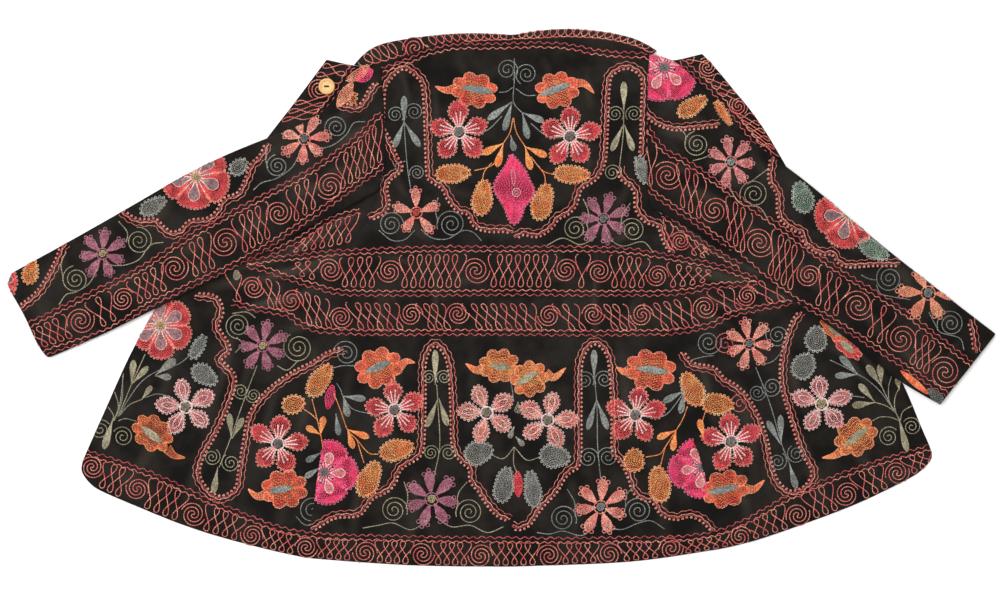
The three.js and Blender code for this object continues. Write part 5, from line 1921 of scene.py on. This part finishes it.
class COAT_OT_sleeves(bpy.types.Operator):
    """Make both sleeves as soft flattened tubes with open cuffs"""
    bl_idname = "coat.sleeves"
    bl_label = "Sleeves"

    def execute(self, context):
        for tube in TUBES:
            cloth_wall(*tube)
        return {"FINISHED"}


class COAT_OT_collar(bpy.types.Operator):
    """Make the two halves of the rolled collar that show past the neck"""
    bl_idname = "coat.collar"
    bl_label = "Collar"

    def execute(self, context):
        for collar in COLLARS:
            cloth_wall(*collar)
        return {"FINISHED"}


class COAT_OT_button(bpy.types.Operator):
    """Turn the wooden button and sew it on"""
    bl_idname = "coat.button"
    bl_label = "Button"

    def execute(self, context):
        for build in (button_wood, button_thread):
            build(*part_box("button"))
        return {"FINISHED"}


class COAT_OT_borders(bpy.types.Operator):
    """Sew the borders of running scrolls, loops and wavy rows"""
    bl_idname = "coat.borders"
    bl_label = "Scroll borders"

    def execute(self, context):
        for number, border in enumerate(BORDERS, 1):
            sew = Sewing(f"border_{number:02d}")
            scroll_band(sew, **border)
            sew.finish()
        sew_group("neck_pair", (wavy_pair, [(curve(NECK_PAIR), BACK)]))
        return {"FINISHED"}


class COAT_OT_garlands(bpy.types.Operator):
    """Sew the looped garlands that frame the niches"""
    bl_idname = "coat.garlands"
    bl_label = "Garlands"

    def execute(self, context):
        sew_group("garland", (garland, GARLANDS))
        return {"FINISHED"}


class COAT_OT_flowers(bpy.types.Operator):
    """Sew the stars, daisies, blooms and buds"""
    bl_idname = "coat.flowers"
    bl_label = "Flowers"

    def execute(self, context):
        sew_group("star_flowers", (star_flower, STARS))
        sew_group("daisies", (daisy, DAISIES))
        sew_group("blooms", (full_bloom, FULL_BLOOMS), (looped_bloom, LOOPED_BLOOMS),
                  (bud, BUDS), (middle_bud, [()]))
        return {"FINISHED"}


class COAT_OT_leaves(bpy.types.Operator):
    """Sew the scalloped leaves, the looped leaves, the drops and their stems"""
    bl_idname = "coat.leaves"
    bl_label = "Leaves"

    def execute(self, context):
        looped = [(*dyes, *leaf) for *dyes, leaves in LOOPED for leaf in leaves]
        drops = [(cloth, dye, *row) for cloth, dye, rows, _ in PLANTS for row in rows]
        stems = [(cloth, dye, row) for cloth, dye, _, rows in PLANTS for row in rows]
        sew_group("scalloped_leaves", (scalloped_leaf, SCALLOPED))
        sew_group("looped_leaves", (looped_leaf, looped))
        sew_group("drops", (drop, drops), (stem, stems))
        return {"FINISHED"}


class COAT_OT_scrolls(bpy.types.Operator):
    """Sew the little trees of the niches and the free scrolls"""
    bl_idname = "coat.scrolls"
    bl_label = "Sprigs and scrolls"

    def execute(self, context):
        sew_group("sprigs", (sprig, SPRIGS))
        sew_group("scrolls", (free_scroll, SCROLLS))
        return {"FINISHED"}


STEPS = (COAT_OT_stage, COAT_OT_panels, COAT_OT_sleeves, COAT_OT_collar, COAT_OT_button,
         COAT_OT_borders, COAT_OT_garlands, COAT_OT_flowers, COAT_OT_leaves, COAT_OT_scrolls)


class COAT_PT_panel(bpy.types.Panel):
    bl_label = "Embroidered Coat"
    bl_idname = "COAT_PT_panel"
    bl_space_type = "VIEW_3D"
    bl_region_type = "UI"
    bl_category = "Coat"

    def draw(self, context):
        coat = context.scene.coat
        for group in (coat.cloth, coat.thread, coat.stage):
            box = self.layout.box()
            for name in group.bl_rna.properties.keys():
                if name not in {"rna_type", "name"}:
                    box.prop(group, name)
        for step in STEPS:
            self.layout.operator(step.bl_idname)


CLASSES = (CoatClothSettings, CoatThreadSettings, CoatStageSettings, CoatSettings,
           *STEPS, COAT_PT_panel)


def register():
    for item in CLASSES:
        bpy.utils.register_class(item)
    bpy.types.Scene.coat = PointerProperty(type=CoatSettings)


def unregister():
    del bpy.types.Scene.coat
    for item in reversed(CLASSES):
        bpy.utils.unregister_class(item)


def main():
    register()
    for step in STEPS:
        group, name = step.bl_idname.split(".")
        getattr(getattr(bpy.ops, group), name)()
    bpy.context.view_layer.update()


if __name__ == "__main__":
    main()
